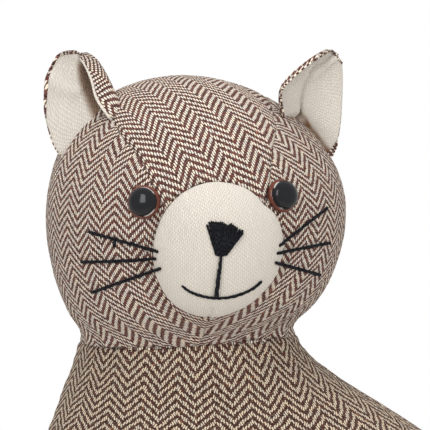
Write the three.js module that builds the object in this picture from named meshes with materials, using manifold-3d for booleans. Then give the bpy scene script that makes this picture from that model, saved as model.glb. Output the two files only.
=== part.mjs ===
// Cat door stop: a stuffed cat of herringbone tweed that holds a door with the weight bag in its base.
// Millimetres, +Z up. The chest looks to -X, the face is turned to -Y, and the base lies on z = 0.
import * as THREE from 'three';
import Module from 'manifold-3d';

const wasm = await Module();
wasm.setup();

// Cloth and the clearance that every pair of touching pieces keeps.
const TWEED = 1.2;
const COTTON = 0.8;
const CLEARANCE = 0.3;
const STUFFING = TWEED + CLEARANCE;
const STUFFING_SLACK = 1.3;

// Neck seam, the oval where head and body are sewn together.
const NECK = new THREE.Vector3(-24, 0, 165);
const NECK_HALF_WIDTH = 49.5;
const NECK_HALF_DEPTH = 46;

// Head, measured from its own centre before it is turned.
const HEAD_HALF_WIDTH = 67.2;
const HEAD_HALF_DEPTH = 64;
const CROWN_HEIGHT = 61.6;
const CHIN_DEPTH = 75.3;
const HEAD_LIFT = 59;
const HEAD_CENTRE = new THREE.Vector3(NECK.x + 3.6, -4, NECK.z + HEAD_LIFT);
const HEAD_TURN = THREE.MathUtils.degToRad(8.5);
const HEAD_TILT = THREE.MathUtils.degToRad(2);
const HEAD_LEAN = 6.5;
const NECK_FLARE = 13;

// Muzzle, a stuffed cotton disc let into the face.
const MUZZLE_RADIUS = 29.5;
const MUZZLE_RISE = 11;
const MUZZLE_RIM = 1.6;
const MUZZLE_DROOP = THREE.MathUtils.degToRad(9.5);

// Eyes, with their place on the face to the right and up from the middle of the muzzle.
const EYE_RIGHT = 31.2;
const EYE_UP = 20.8;
const EYE_RADIUS = 7.25;
const EYE_HEIGHT = 6.4;
const PUPIL_RADIUS = 5.9;
const PUPIL_HEIGHT = 5;
const SHANK_RADIUS = 2.2;
const SHANK_LENGTH = 12;
const WASHER_RADIUS = 7;
const WASHER_THICKNESS = 1.5;

// Embroidery threads.
const WHISKER_THICKNESS = 1.2;
const MOUTH_THICKNESS = 1.1;
const NOSE_THICKNESS = 1.3;
const WHISKER_START = MUZZLE_RADIUS + CLEARANCE + WHISKER_THICKNESS;

// Body, from the neck seam to the base seam.
const CHEST_REACH = 74;
const BACK_REACH = 126;
const BODY_HALF_DEPTH = 66;
const BELLY_HEIGHT = 60;
const BASE_CHEST = 60;
const BASE_BACK = 107;
const BASE_HALF_DEPTH = 53;
const BODY_BOTTOM = TWEED + CLEARANCE;

// Facets: pieces that meet or lie in one another share their stations.
const SEAM_STEPS = 18;
const NECK_CROWDING = 1.35;
const BODY_STEPS = 12;
const BODY_SIDE_STEPS = 13;

// Weight bag of grit on the base panel.
const BAG_HALF_LENGTH = 74;
const BAG_HALF_DEPTH = 46;
const BAG_TOP = 75;
const BAG_SEAM_HEIGHT = 18;
const BAG_SLACK = 1.2;

// Tail, sewn to the rump and lying round the body's near side.
const TAIL_RADIUS = 13;
const TAIL_TIP_RADIUS = 8.5;
const TAIL_FLOOR_GAP = 0.8;

const TWEED_LOOK = { color: 0x8d776b, roughness: 0.95, metalness: 0 };
const COTTON_LOOK = { color: 0xd8cebd, roughness: 0.9, metalness: 0 };
const THREAD_LOOK = { color: 0x1b1b1e, roughness: 0.75, metalness: 0 };
const STUFFING_LOOK = { color: 0xf1efea, roughness: 1, metalness: 0 };
const CALICO_LOOK = { color: 0xe2d9c4, roughness: 0.95, metalness: 0 };
const GRIT_LOOK = { color: 0x8a8378, roughness: 0.9, metalness: 0 };
const AMBER_LOOK = { color: 0x6b2f1a, roughness: 0.08, metalness: 0, opacity: 0.6, transparent: true };
const BLACK_LOOK = { color: 0x08080a, roughness: 0.12, metalness: 0 };
const WASHER_LOOK = { color: 0xe8e6e0, roughness: 0.5, metalness: 0 };

const door_stop = new THREE.Group();
door_stop.name = 'cat_door_stop';

function add(name, geometry, look) {
  const mesh = new THREE.Mesh(geometry, new THREE.MeshStandardMaterial(look));
  mesh.name = name;
  door_stop.add(mesh);
  return mesh;
}

// Geometry from a flat list of points and a list of point numbers.
function faceted(points, index) {
  const geometry = new THREE.BufferGeometry();
  geometry.setAttribute('position', new THREE.Float32BufferAttribute(points.flatMap((p) => [p.x, p.y, p.z]), 3));
  geometry.setIndex(index);
  return geometry;
}

function solid(geometry) {
  return new wasm.Manifold(new wasm.Mesh({
    numProp: 3,
    vertProperties: new Float32Array(geometry.getAttribute('position').array),
    triVerts: new Uint32Array(geometry.getIndex().array),
  }));
}

function fromSolid(body) {
  const mesh = body.getMesh();
  const geometry = new THREE.BufferGeometry();
  geometry.setAttribute('position', new THREE.BufferAttribute(mesh.vertProperties, 3));
  geometry.setIndex(new THREE.BufferAttribute(mesh.triVerts, 1));
  return geometry;
}

// A sheet of cloth: an outer and an inner face over the same grid, closed along its four edges.
function sheet(across, along, outer, inner) {
  const points = [];
  for (const face of [outer, inner]) {
    for (let j = 0; j <= along; j += 1) {
      for (let i = 0; i <= across; i += 1) points.push(face(i / across, j / along));
    }
  }
  const count = (across + 1) * (along + 1);
  const index = [];
  const quad = (a, b, c, d) => index.push(a, b, c, a, c, d);
  const at = (i, j) => j * (across + 1) + i;
  for (let j = 0; j < along; j += 1) {
    for (let i = 0; i < across; i += 1) {
      quad(at(i, j), at(i + 1, j), at(i + 1, j + 1), at(i, j + 1));
      quad(count + at(i, j), count + at(i, j + 1), count + at(i + 1, j + 1), count + at(i + 1, j));
    }
  }
  for (let i = 0; i < across; i += 1) {
    quad(at(i, 0), count + at(i, 0), count + at(i + 1, 0), at(i + 1, 0));
    quad(at(i + 1, along), count + at(i + 1, along), count + at(i, along), at(i, along));
  }
  for (let j = 0; j < along; j += 1) {
    quad(at(0, j + 1), count + at(0, j + 1), count + at(0, j), at(0, j));
    quad(at(across, j), count + at(across, j), count + at(across, j + 1), at(across, j + 1));
  }
  return faceted(points, index);
}

// A closed body from rings that run from its low end to its high end, with a point closing each end.
function loft(around, rings, ring, low, high) {
  const points = [];
  for (let j = 0; j <= rings; j += 1) {
    for (let i = 0; i < around; i += 1) points.push(ring((2 * Math.PI * i) / around, j / rings));
  }
  const index = [];
  const at = (i, j) => j * around + (i % around);
  for (let j = 0; j < rings; j += 1) {
    for (let i = 0; i < around; i += 1) {
      index.push(at(i, j), at(i + 1, j), at(i + 1, j + 1), at(i, j), at(i + 1, j + 1), at(i, j + 1));
    }
  }
  for (let i = 0; i < around; i += 1) {
    index.push(points.length, at(i + 1, 0), at(i, 0));
    index.push(points.length + 1, at(i, rings), at(i + 1, rings));
  }
  points.push(low, high);
  return faceted(points, index);
}

// Surface of the head in a direction from its centre, with an offset above the tweed.
function headPoint(direction, offset) {
  const d = direction.clone().normalize();
  const height = d.z < 0 ? CHIN_DEPTH : CROWN_HEIGHT;
  const radius = 1 / Math.hypot(d.x / HEAD_HALF_WIDTH, d.y / HEAD_HALF_DEPTH, d.z / height);
  const p = d.multiplyScalar(radius + offset);
  p.applyAxisAngle(new THREE.Vector3(0, 1, 0), -HEAD_TILT);
  p.applyAxisAngle(new THREE.Vector3(0, 0, 1), HEAD_TURN);
  p.x -= HEAD_LEAN * (p.z / CROWN_HEIGHT) ** 2;
  p.add(HEAD_CENTRE);
  return flaredToNeck(p, offset);
}

// Just above the neck seam the head widens to meet the body.
function flaredToNeck(p, offset) {
  const share = THREE.MathUtils.clamp(1 - (p.z - NECK.z) / NECK_FLARE, 0, 1) ** 1.5;
  const width = NECK_HALF_WIDTH + offset;
  const depth = NECK_HALF_DEPTH + offset;
  const angle = Math.atan2((p.y - NECK.y) / depth, (p.x - NECK.x) / width);
  const x = NECK.x + width * Math.cos(angle);
  const y = NECK.y + depth * Math.sin(angle);
  return new THREE.Vector3(p.x + (x - p.x) * share, p.y + (y - p.y) * share, p.z);
}

// Direction in the head's own frame of a point in space.
function headDirection(point) {
  const d = point.clone().sub(HEAD_CENTRE);
  d.x += HEAD_LEAN * (d.z / CROWN_HEIGHT) ** 2;
  d.applyAxisAngle(new THREE.Vector3(0, 0, 1), -HEAD_TURN);
  d.applyAxisAngle(new THREE.Vector3(0, 1, 0), HEAD_TILT);
  return d.normalize();
}

function polar(azimuth, tilt) {
  return new THREE.Vector3(
    Math.cos(azimuth) * Math.sin(tilt), Math.sin(azimuth) * Math.sin(tilt), -Math.cos(tilt));
}

// Tilt from straight down at which the head reaches the height of the neck seam.
function neckTilt(azimuth, offset) {
  let low = 0.3;
  let high = 1.5;
  for (let step = 0; step < 40; step += 1) {
    const tilt = (low + high) / 2;
    if (headPoint(polar(azimuth, tilt), offset).z < NECK.z + CLEARANCE / 2) low = tilt;
    else high = tilt;
  }
  return (low + high) / 2;
}

// The face's own axes: out through the muzzle, to its right and up.
const FACE_OUT = new THREE.Vector3(0, -Math.cos(MUZZLE_DROOP), -Math.sin(MUZZLE_DROOP));
const FACE_RIGHT = new THREE.Vector3(1, 0, 0);
const FACE_UP = new THREE.Vector3().crossVectors(FACE_OUT, FACE_RIGHT);

// Direction of a place on the face, in millimetres of cloth from the middle of the muzzle.
function faceDirection(right, up) {
  const reach = Math.hypot(right, up);
  const angle = reach / HEAD_HALF_DEPTH;
  const d = FACE_OUT.clone().multiplyScalar(Math.cos(angle));
  if (reach > 0) {
    d.addScaledVector(FACE_RIGHT, (Math.sin(angle) * right) / reach);
    d.addScaledVector(FACE_UP, (Math.sin(angle) * up) / reach);
  }
  return d;
}

// Height of the stuffed muzzle above the head, at a distance from its middle.
function muzzleHeight(reach) {
  if (reach >= MUZZLE_RADIUS) return 0;
  return MUZZLE_RIM + MUZZLE_RISE * (1 - (reach / MUZZLE_RADIUS) ** 2) ** 0.75;
}

function facePoint(right, up, offset) {
  return headPoint(faceDirection(right, up), muzzleHeight(Math.hypot(right, up)) + offset);
}

// Outward direction of the face's surface, ignoring the muzzle.
function faceNormal(right, up) {
  const across = headPoint(faceDirection(right + 1, up), 0).sub(headPoint(faceDirection(right - 1, up), 0));
  const upward = headPoint(faceDirection(right, up + 1), 0).sub(headPoint(faceDirection(right, up - 1), 0));
  return across.cross(upward).normalize();
}

// Gusset seam of one side (1 or -1), from the muzzle between the eyes, past the ear and down the back.
const GUSSET_CORNER = THREE.MathUtils.degToRad(37);
const GUSSET_END = THREE.MathUtils.degToRad(16);
function gussetSeam(side) {
  const end = Math.PI / 2 - side * GUSSET_END;
  return new THREE.CatmullRomCurve3([
    faceDirection(side * MUZZLE_RADIUS * Math.cos(GUSSET_CORNER), MUZZLE_RADIUS * Math.sin(GUSSET_CORNER)),
    faceDirection(side * 28, 30),
    faceDirection(side * 33, 42),
    faceDirection(side * 42, 54),
    faceDirection(side * 48, 65),
    new THREE.Vector3(side * 0.58, 0, 0.81),
    new THREE.Vector3(side * 0.47, 0.55, 0.69),
    new THREE.Vector3(side * 0.33, 0.9, 0.28),
    new THREE.Vector3(side * 0.25, 0.95, -0.2),
    polar(end, neckTilt(end, 0)),
  ]);
}

// A direction beside a seam, moved along the cloth at right angles to the seam.
function beside(seam, t, distance) {
  const d = seam.getPoint(t).normalize();
  const sideways = new THREE.Vector3().crossVectors(d, seam.getTangent(t)).normalize();
  return d.addScaledVector(sideways, distance / HEAD_HALF_DEPTH).normalize();
}

// Grid of directions inside four seams, each a function from 0 to 1; opposite seams run the same way.
function patch(front, back, low, high) {
  const corner = [low(0), low(1), high(0), high(1)];
  return (u, v) => {
    const p = front(v).multiplyScalar(1 - u).addScaledVector(back(v), u);
    p.addScaledVector(low(u), 1 - v).addScaledVector(high(u), v);
    p.addScaledVector(corner[0], -(1 - u) * (1 - v)).addScaledVector(corner[1], -u * (1 - v));
    p.addScaledVector(corner[2], -(1 - u) * v).addScaledVector(corner[3], -u * v);
    return p.normalize();
  };
}

// The same seam with its two ends moved onto the corners that it shares.
function pinned(seam, start, end) {
  const first = start.clone().sub(seam(0));
  const last = end.clone().sub(seam(1));
  return (t) => seam(t).addScaledVector(first, 1 - t).addScaledVector(last, t);
}

function muzzleEdge(angle) {
  const reach = MUZZLE_RADIUS + CLEARANCE;
  return faceDirection(reach * Math.cos(angle), reach * Math.sin(angle));
}

function neckEdge(azimuth) {
  return polar(azimuth, neckTilt(azimuth, 0));
}

// Cheek and side of the head, sewn to the gusset, the muzzle, the neck and its twin under the chin.
function headSideDirections(side) {
  const nudge = (side * CLEARANCE) / 2 / HEAD_HALF_DEPTH;
  const down = -Math.PI / 2;
  const corner = side > 0 ? GUSSET_CORNER : Math.PI - GUSSET_CORNER - 2 * Math.PI;
  const backward = Math.PI / 2 - side * GUSSET_END - (side > 0 ? 0 : 2 * Math.PI);
  const seam = gussetSeam(side);
  const chinLow = neckEdge(down + nudge);
  const chinHigh = muzzleEdge(down + 2 * nudge);
  const eyeCorner = muzzleEdge(corner - 2 * nudge);
  const nape = neckEdge(backward - 2 * nudge);
  const chin = (t) => chinLow.clone().lerp(chinHigh, t).normalize();
  const edge = (t) => muzzleEdge(THREE.MathUtils.lerp(down + 2 * nudge, corner - 2 * nudge, t));
  const neck = (t) => neckEdge(THREE.MathUtils.lerp(down + nudge, backward - 2 * nudge, t));
  const top = pinned((t) => beside(seam, 1 - t, (side * CLEARANCE) / 2), nape, eyeCorner);
  const inside = patch(chin, top, neck, edge);
  return (u, v) => inside(u, v ** NECK_CROWDING);
}

// Forehead gusset, from the muzzle over the crown to the nape.
function gussetDirections() {
  const nudge = CLEARANCE / 2 / MUZZLE_RADIUS;
  const left = Math.PI - GUSSET_CORNER - nudge;
  const right = GUSSET_CORNER + nudge;
  const nape = GUSSET_END - nudge;
  const front = (t) => muzzleEdge(THREE.MathUtils.lerp(left, right, t));
  const back = (t) => neckEdge(THREE.MathUtils.lerp(Math.PI / 2 + nape, Math.PI / 2 - nape, t));
  const leftSeam = gussetSeam(-1);
  const rightSeam = gussetSeam(1);
  const low = pinned((t) => beside(leftSeam, t, CLEARANCE / 2), front(0), back(0));
  const high = pinned((t) => beside(rightSeam, t, -CLEARANCE / 2), front(1), back(1));
  const inside = patch(front, back, low, high);
  return (u, v) => inside(1 - (1 - u) ** NECK_CROWDING, v);
}

function headPanel(across, along, direction, flipped) {
  const turned = flipped ? (u, v) => direction(u, 1 - v) : direction;
  return sheet(across, along,
    (u, v) => headPoint(turned(u, v), 0),
    (u, v) => headPoint(turned(u, v), -TWEED));
}

// A square grid laid out as a disc: right and up from -1 to 1.
function onDisc(u, v) {
  const a = 2 * u - 1;
  const b = 2 * v - 1;
  return [a * Math.sqrt(1 - (b * b) / 2), b * Math.sqrt(1 - (a * a) / 2)];
}

function muzzlePanel() {
  const face = (offset) => (u, v) => {
    const [right, up] = onDisc(u, v).map((share) => share * MUZZLE_RADIUS);
    const reach = Math.min(Math.hypot(right, up), MUZZLE_RADIUS - 1e-6);
    return headPoint(faceDirection(right, up), muzzleHeight(reach) + offset);
  };
  return sheet(10, 10, face(0), face(-COTTON));
}

// Stuffing of the head, a little smaller than its panels.
function headStuffing() {
  const inset = -STUFFING - STUFFING_SLACK;
  const ring = (azimuth, t) => {
    const tilt = THREE.MathUtils.lerp(neckTilt(azimuth, inset), Math.PI - 0.02, t ** 1.5);
    return headPoint(polar(azimuth, tilt), inset);
  };
  const low = new THREE.Vector3(NECK.x, NECK.y, NECK.z + CLEARANCE / 2);
  const high = headPoint(new THREE.Vector3(0, 0, 1), inset);
  return solid(loft(22, 11, ring, low, high)).add(muzzleStuffing());
}

// The stuffing's bulge that fills the muzzle.
function muzzleStuffing() {
  const inset = -COTTON - CLEARANCE - STUFFING_SLACK;
  const ring = (angle, t) => {
    const reach = THREE.MathUtils.lerp(MUZZLE_RADIUS - 1.5, 1, t);
    return facePoint(reach * Math.cos(angle), reach * Math.sin(angle), inset);
  };
  return solid(loft(16, 4, ring, headPoint(FACE_OUT, -0.3 * HEAD_HALF_DEPTH), facePoint(0, 0, inset)));
}

// A cylinder along the eye's axis, from one depth under the cloth to a height above it.
function alongEye(side, radius, from, to) {
  const geometry = new THREE.CylinderGeometry(radius, radius, to - from, 16);
  geometry.translate(0, (from + to) / 2, 0);
  return solid(placedAtEye(side, mergedCylinder(geometry)));
}

// The cylinder again as one closed surface, without the doubled points along its edges.
function mergedCylinder(geometry) {
  const { radiusTop, height, radialSegments } = geometry.parameters;
  const middle = geometry.attributes.position.getY(0) - height / 2;
  const ring = (angle, t) => new THREE.Vector3(
    radiusTop * Math.cos(angle), middle + height * (t - 0.5), -radiusTop * Math.sin(angle));
  const low = new THREE.Vector3(0, middle - height / 2, 0);
  const high = new THREE.Vector3(0, middle + height / 2, 0);
  return loft(radialSegments, 1, ring, low, high);
}

function placedAtEye(side, geometry) {
  const seat = headPoint(faceDirection(side * EYE_RIGHT, EYE_UP), 0);
  const normal = faceNormal(side * EYE_RIGHT, EYE_UP);
  const turn = new THREE.Quaternion().setFromUnitVectors(new THREE.Vector3(0, 1, 0), normal);
  geometry.applyQuaternion(turn);
  geometry.translate(seat.x, seat.y, seat.z);
  return geometry;
}

function turned(profile) {
  return new THREE.LatheGeometry(profile.map(([r, h]) => new THREE.Vector2(r, h)), 12);
}

// Quarter circle arc of a dome, from its rim up to its top.
function domeArc(radius, height, floor, steps) {
  const arc = [];
  for (let i = 0; i <= steps; i += 1) {
    const angle = (Math.PI / 2) * (i / steps);
    arc.push([radius * Math.cos(angle), floor + height * Math.sin(angle)]);
  }
  arc[steps][0] = 0;
  return arc;
}

// Clear brown dome of the eye, hollow for the black pupil.
function eyeDome(side) {
  const outer = domeArc(EYE_RADIUS, EYE_HEIGHT - 1, CLEARANCE + 1, 4);
  const inner = domeArc(PUPIL_RADIUS + CLEARANCE, PUPIL_HEIGHT + CLEARANCE - 0.8, CLEARANCE + 0.8, 4).reverse();
  const rim = [[PUPIL_RADIUS + CLEARANCE, CLEARANCE], [EYE_RADIUS - 0.4, CLEARANCE]];
  return placedAtEye(side, turned([...inner, ...rim, ...outer]));
}

// Black pupil with the shank that goes through the cloth.
function eyePupil(side) {
  const dome = domeArc(PUPIL_RADIUS, PUPIL_HEIGHT - 0.8, CLEARANCE + 0.8, 4);
  const shank = [[0, CLEARANCE - SHANK_LENGTH], [SHANK_RADIUS, CLEARANCE - SHANK_LENGTH], [SHANK_RADIUS, CLEARANCE]];
  return placedAtEye(side, turned([...shank, [PUPIL_RADIUS, CLEARANCE], ...dome]));
}

// Lock washer pressed on the shank against the inside of the cloth.
function eyeWasher(side) {
  const top = -TWEED - 3 * CLEARANCE;
  const bore = SHANK_RADIUS + CLEARANCE;
  const profile = [
    [bore, top - WASHER_THICKNESS], [WASHER_RADIUS, top - WASHER_THICKNESS],
    [WASHER_RADIUS, top], [bore, top], [bore, top - WASHER_THICKNESS],
  ];
  return placedAtEye(side, turned(profile));
}

function withoutEye(panel, side) {
  return panel.subtract(alongEye(side, SHANK_RADIUS + CLEARANCE, -8, 4));
}

function withoutEyeFittings(stuffing) {
  return [-1, 1].reduce((rest, side) => rest
    .subtract(alongEye(side, WASHER_RADIUS + CLEARANCE, -5, 6))
    .subtract(alongEye(side, SHANK_RADIUS + CLEARANCE, -SHANK_LENGTH - CLEARANCE, 6)), stuffing);
}

// A thread that lies on the face through places given right and up from the middle of the muzzle.
function thread(places, thickness, steps) {
  const radius = thickness / 2;
  const path = new THREE.CatmullRomCurve3(
    places.map(([right, up]) => facePoint(right, up, radius + CLEARANCE)), false, 'centripetal');
  const section = new THREE.Shape(new THREE.Path().absarc(0, 0, radius, 0, 2 * Math.PI).getPoints(3).slice(0, -1));
  return new THREE.ExtrudeGeometry(section, { steps, extrudePath: path, bevelEnabled: false, curveSegments: 3 });
}

// Places on a straight thread, close enough for it to follow the cheek.
function stitched(from, to, count) {
  const places = [];
  for (let i = 0; i <= count; i += 1) {
    const t = i / count;
    places.push([THREE.MathUtils.lerp(from[0], to[0], t), THREE.MathUtils.lerp(from[1], to[1], t)]);
  }
  return places;
}

// Satin-stitched nose, wide at the top and narrow where the lip thread starts.
function nose() {
  const outline = {
    left: [[-2.1, 0.8], [-3.4, 6.3], [-5, 12.6]],
    right: [[1.6, 0.8], [4.2, 3.8], [8.2, 9.2]],
  };
  const edge = (points) => new THREE.CatmullRomCurve3(points.map(([x, y]) => new THREE.Vector3(x, y, 0)));
  const left = edge(outline.left);
  const right = edge(outline.right);
  const face = (offset) => (u, v) => {
    const p = left.getPoint(v).lerp(right.getPoint(v), u);
    return facePoint(p.x, p.y + 1.2 * v * Math.sin(Math.PI * u), offset);
  };
  return sheet(5, 5, face(CLEARANCE + NOSE_THICKNESS), face(CLEARANCE));
}

// Half-widths and depth of the body against its height, one curve above the belly and one under it.
const UPPER_Z = [NECK.z - CLEARANCE / 2, 152, 116, BELLY_HEIGHT];
const LOWER_Z = [BELLY_HEIGHT, 28, 9, BODY_BOTTOM];
const BACK = [
  [NECK_HALF_WIDTH, 56, BACK_REACH + 22, BACK_REACH], [BACK_REACH, BACK_REACH - 12.6, BASE_BACK + 5, BASE_BACK]];
const CHEST = [[NECK_HALF_WIDTH, 51, 69.5, CHEST_REACH], [CHEST_REACH, CHEST_REACH + 1, 71, BASE_CHEST]];
const DEPTH = [
  [NECK_HALF_DEPTH, 47.5, 66, BODY_HALF_DEPTH], [BODY_HALF_DEPTH, BODY_HALF_DEPTH, 63, BASE_HALF_DEPTH]];

function bezier([a, b, c, d], t) {
  const s = 1 - t;
  return s * s * s * a + 3 * s * s * t * b + 3 * s * t * t * c + t * t * t * d;
}

// Surface of the body at an angle around it and a share of the way down, 0 at the neck and 2 at the base.
function bodyPoint(angle, down, offset) {
  const part = down < 1 ? 0 : 1;
  const t = down - part;
  const back = bezier(BACK[part], t);
  const chest = bezier(CHEST[part], t);
  const middle = NECK.x + (back - chest) / 2;
  const width = (back + chest) / 2 + offset;
  const depth = bezier(DEPTH[part], t) + offset;
  const z = bezier(part === 0 ? UPPER_Z : LOWER_Z, t);
  return new THREE.Vector3(middle + width * Math.cos(angle), depth * Math.sin(angle), z);
}

// Side of the body: side -1 is the near one that the face looks over, 1 the far one.
function bodySide(side) {
  const nudge = CLEARANCE / 2 / NECK_HALF_DEPTH;
  const start = side > 0 ? nudge : Math.PI + nudge;
  const face = (offset) => (u, v) => bodyPoint(start + u * (Math.PI - 2 * nudge), 2 * (1 - v), offset);
  return sheet(BODY_SIDE_STEPS, BODY_STEPS, face(0), face(-TWEED));
}

function bodyLoft(offset) {
  const ring = (angle, t) => bodyPoint(angle, 2 * (1 - t), offset);
  const low = new THREE.Vector3(bodyPoint(0, 2, 0).x - BASE_BACK / 2, 0, BODY_BOTTOM);
  const high = new THREE.Vector3(NECK.x, 0, NECK.z - CLEARANCE / 2);
  return solid(loft(2 * BODY_SIDE_STEPS, BODY_STEPS, ring, low, high));
}

function basePanel() {
  const outline = [];
  for (let i = 0; i < 40; i += 1) {
    const p = bodyPoint((2 * Math.PI * i) / 40, 2, 0);
    outline.push(new THREE.Vector2(p.x, p.y));
  }
  return new THREE.ExtrudeGeometry(new THREE.Shape(outline), { depth: TWEED, bevelEnabled: false });
}

// Middle of the base, where the weight bag lies.
const BAG_MIDDLE_X = NECK.x + (BASE_BACK - BASE_CHEST) / 2;

// Surface of the weight bag: reach runs from 0 in the middle to 1 at its seam, side 1 is the upper half.
function bagPoint(right, back, side, offset) {
  const reach = Math.min(Math.hypot(right, back), 1);
  const angle = Math.atan2(back, right);
  const bend = (Math.PI / 2) * reach;
  const half = side > 0 ? BAG_TOP - BAG_SEAM_HEIGHT : BAG_SEAM_HEIGHT - BODY_BOTTOM - CLEARANCE;
  const width = (BAG_HALF_LENGTH + offset) * Math.sin(bend);
  const depth = (BAG_HALF_DEPTH + offset) * Math.sin(bend);
  const rise = (half + offset) * Math.max(0, Math.cos(bend)) ** (side > 0 ? 0.75 : 0.5);
  return new THREE.Vector3(
    BAG_MIDDLE_X + width * Math.cos(angle), depth * Math.sin(angle),
    BAG_SEAM_HEIGHT + side * (rise + (CLEARANCE / 2)));
}

function bagPanel(side) {
  const face = (offset) => (u, v) => {
    const [right, back] = onDisc(u, v);
    return bagPoint(right, back, side, offset);
  };
  if (side > 0) return sheet(8, 8, face(0), face(-COTTON));
  return sheet(8, 8, face(-COTTON), face(0));
}

function grit() {
  const lowInset = -COTTON - 3 * CLEARANCE;
  const highInset = -COTTON - 2 * BAG_SLACK;
  const ring = (angle, t) => {
    const side = t < 0.5 ? -1 : 1;
    const inset = side > 0 ? highInset : lowInset;
    const reach = 1 - Math.abs(2 * t - 1) * 0.98;
    return bagPoint(reach * Math.cos(angle), reach * Math.sin(angle), side, inset);
  };
  return loft(18, 8, ring, bagPoint(0, 0, -1, lowInset), bagPoint(0, 0, 1, highInset));
}

// Hollow that the weight bag fills in the underside of the body's stuffing.
function bagHollow() {
  const ring = (angle, t) => {
    const reach = t < 0.1 ? 1 : 1 - (t - 0.1) / 0.92;
    const p = bagPoint(reach * Math.cos(angle), reach * Math.sin(angle), 1, BAG_SLACK);
    if (t < 0.1) p.z = -1;
    return p;
  };
  const middle = bagPoint(0, 0, 1, BAG_SLACK);
  return solid(loft(20, 8, ring, new THREE.Vector3(middle.x, middle.y, -1), middle));
}

function bodyStuffing() {
  return fromSolid(bodyLoft(-STUFFING).subtract(bagHollow()));
}

// Route of the tail: out of the rump, then round the near side on the floor.
function tailPath() {
  const height = TAIL_RADIUS + TAIL_FLOOR_GAP;
  const root = bodyPoint(0.08, 1.3, -TAIL_RADIUS);
  const at = (angle, gap) => {
    const p = bodyPoint(angle, 1.3, TAIL_RADIUS + gap);
    return new THREE.Vector3(p.x, p.y, height);
  };
  return new THREE.CatmullRomCurve3([
    new THREE.Vector3(root.x, root.y, height + 9), at(-0.28, -2), at(-0.6, 0.6), at(-0.95, 1), at(-1.3, 1), at(-1.7, 1),
  ], false, 'centripetal');
}

// Round tube of cloth or stuffing along the tail, rounded off at its tip.
function tailTube(inset) {
  const path = tailPath();
  const up = new THREE.Vector3(0, 0, 1);
  const ring = (angle, t) => {
    const along = Math.min(t / 0.85, 1) * 0.97;
    const round = t < 0.85 ? 1 : Math.cos(((t - 0.85) / 0.15) * 1.45);
    const radius = (THREE.MathUtils.lerp(TAIL_RADIUS, TAIL_TIP_RADIUS, along) - inset) * round;
    const forward = path.getTangentAt(along);
    const side = new THREE.Vector3().crossVectors(up, forward).normalize();
    const over = new THREE.Vector3().crossVectors(forward, side);
    const reach = t < 0.85 ? 0 : (TAIL_TIP_RADIUS - inset) * Math.sin(((t - 0.85) / 0.15) * 1.45);
    return path.getPointAt(along)
      .addScaledVector(forward, reach)
      .addScaledVector(side, radius * Math.cos(angle))
      .addScaledVector(over, radius * Math.sin(angle));
  };
  const end = path.getPointAt(0.97).addScaledVector(path.getTangentAt(0.97), TAIL_TIP_RADIUS - inset);
  return solid(loft(9, 12, ring, path.getPointAt(0), end));
}

// Ears: the outer edge and the line where the inner edge starts to curl forward, from base to tip.
const EARS = {
  left: {
    outer: [[-79, -22, 247.6], [-84.5, -20, 254.5], [-88.1, -16, 268], [-86, -12, 284.3], [-81.2, -10, 295.3]],
    fold: [[-60.4, -33, 270.7], [-62.3, -27, 277.8], [-64.8, -20, 285.9], [-69.5, -13, 292.7]],
    curlRadius: [4.6, 3.4],
    curlAngle: [3.3, 2.5],
    cup: 3,
  },
  right: {
    outer: [[40.9, -8, 248.8], [43.6, -7, 256.8], [45.3, -6, 268.1], [45.5, -6, 283.6], [44.3, -6, 293.4]],
    fold: [[20.2, -28, 270.4], [22.5, -22, 279.8], [30.2, -15, 288.4], [38.9, -9, 294.4]],
    curlRadius: [4.6, 1.8],
    curlAngle: [3.2, 1.7],
    cup: 3.5,
  },
};
const EAR_FLAT_SHARE = 0.62;
const EAR_GAP = 0.65;
const LINING_INSET = 0.03;

// Middle surface of an ear, u from the outer edge to the curled one and v from the base to the tip.
function earSurface(ear) {
  const curve = (points) => new THREE.CatmullRomCurve3(points.map((p) => new THREE.Vector3(...p)));
  const outer = curve(ear.outer);
  const fold = curve(ear.fold);
  const inward = ear === EARS.left ? 1 : -1;
  return (u, v) => {
    const a = outer.getPoint(v);
    const b = fold.getPoint(v);
    const across = b.clone().sub(a).normalize();
    const forward = new THREE.Vector3(0, -1, 0);
    forward.addScaledVector(across, -forward.dot(across)).normalize();
    const flat = Math.min(u / EAR_FLAT_SHARE, 1);
    const p = a.clone().lerp(b, flat);
    p.addScaledVector(forward, -ear.cup * Math.sin(Math.PI * flat) * (1 - 0.5 * v));
    if (u > EAR_FLAT_SHARE) {
      const share = (u - EAR_FLAT_SHARE) / (1 - EAR_FLAT_SHARE);
      const angle = share * THREE.MathUtils.lerp(ear.curlAngle[0], ear.curlAngle[1], v);
      const radius = THREE.MathUtils.lerp(ear.curlRadius[0], ear.curlRadius[1], v);
      p.addScaledVector(across, radius * Math.sin(angle));
      p.addScaledVector(forward, radius * (1 - Math.cos(angle)));
    }
    p.z += 1.6 * v * v * Math.sin(Math.PI * Math.min(u / 0.8, 1)) * Math.abs(inward);
    return p;
  };
}

// The ear stands on the head: no point of it is lower than its clearance over the tweed.
function clearOfHead(p, isBase) {
  const d = headDirection(p);
  const surface = headPoint(d, CLEARANCE);
  const height = p.distanceTo(HEAD_CENTRE) - surface.distanceTo(HEAD_CENTRE);
  return isBase || height < 0 ? surface : p;
}

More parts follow.
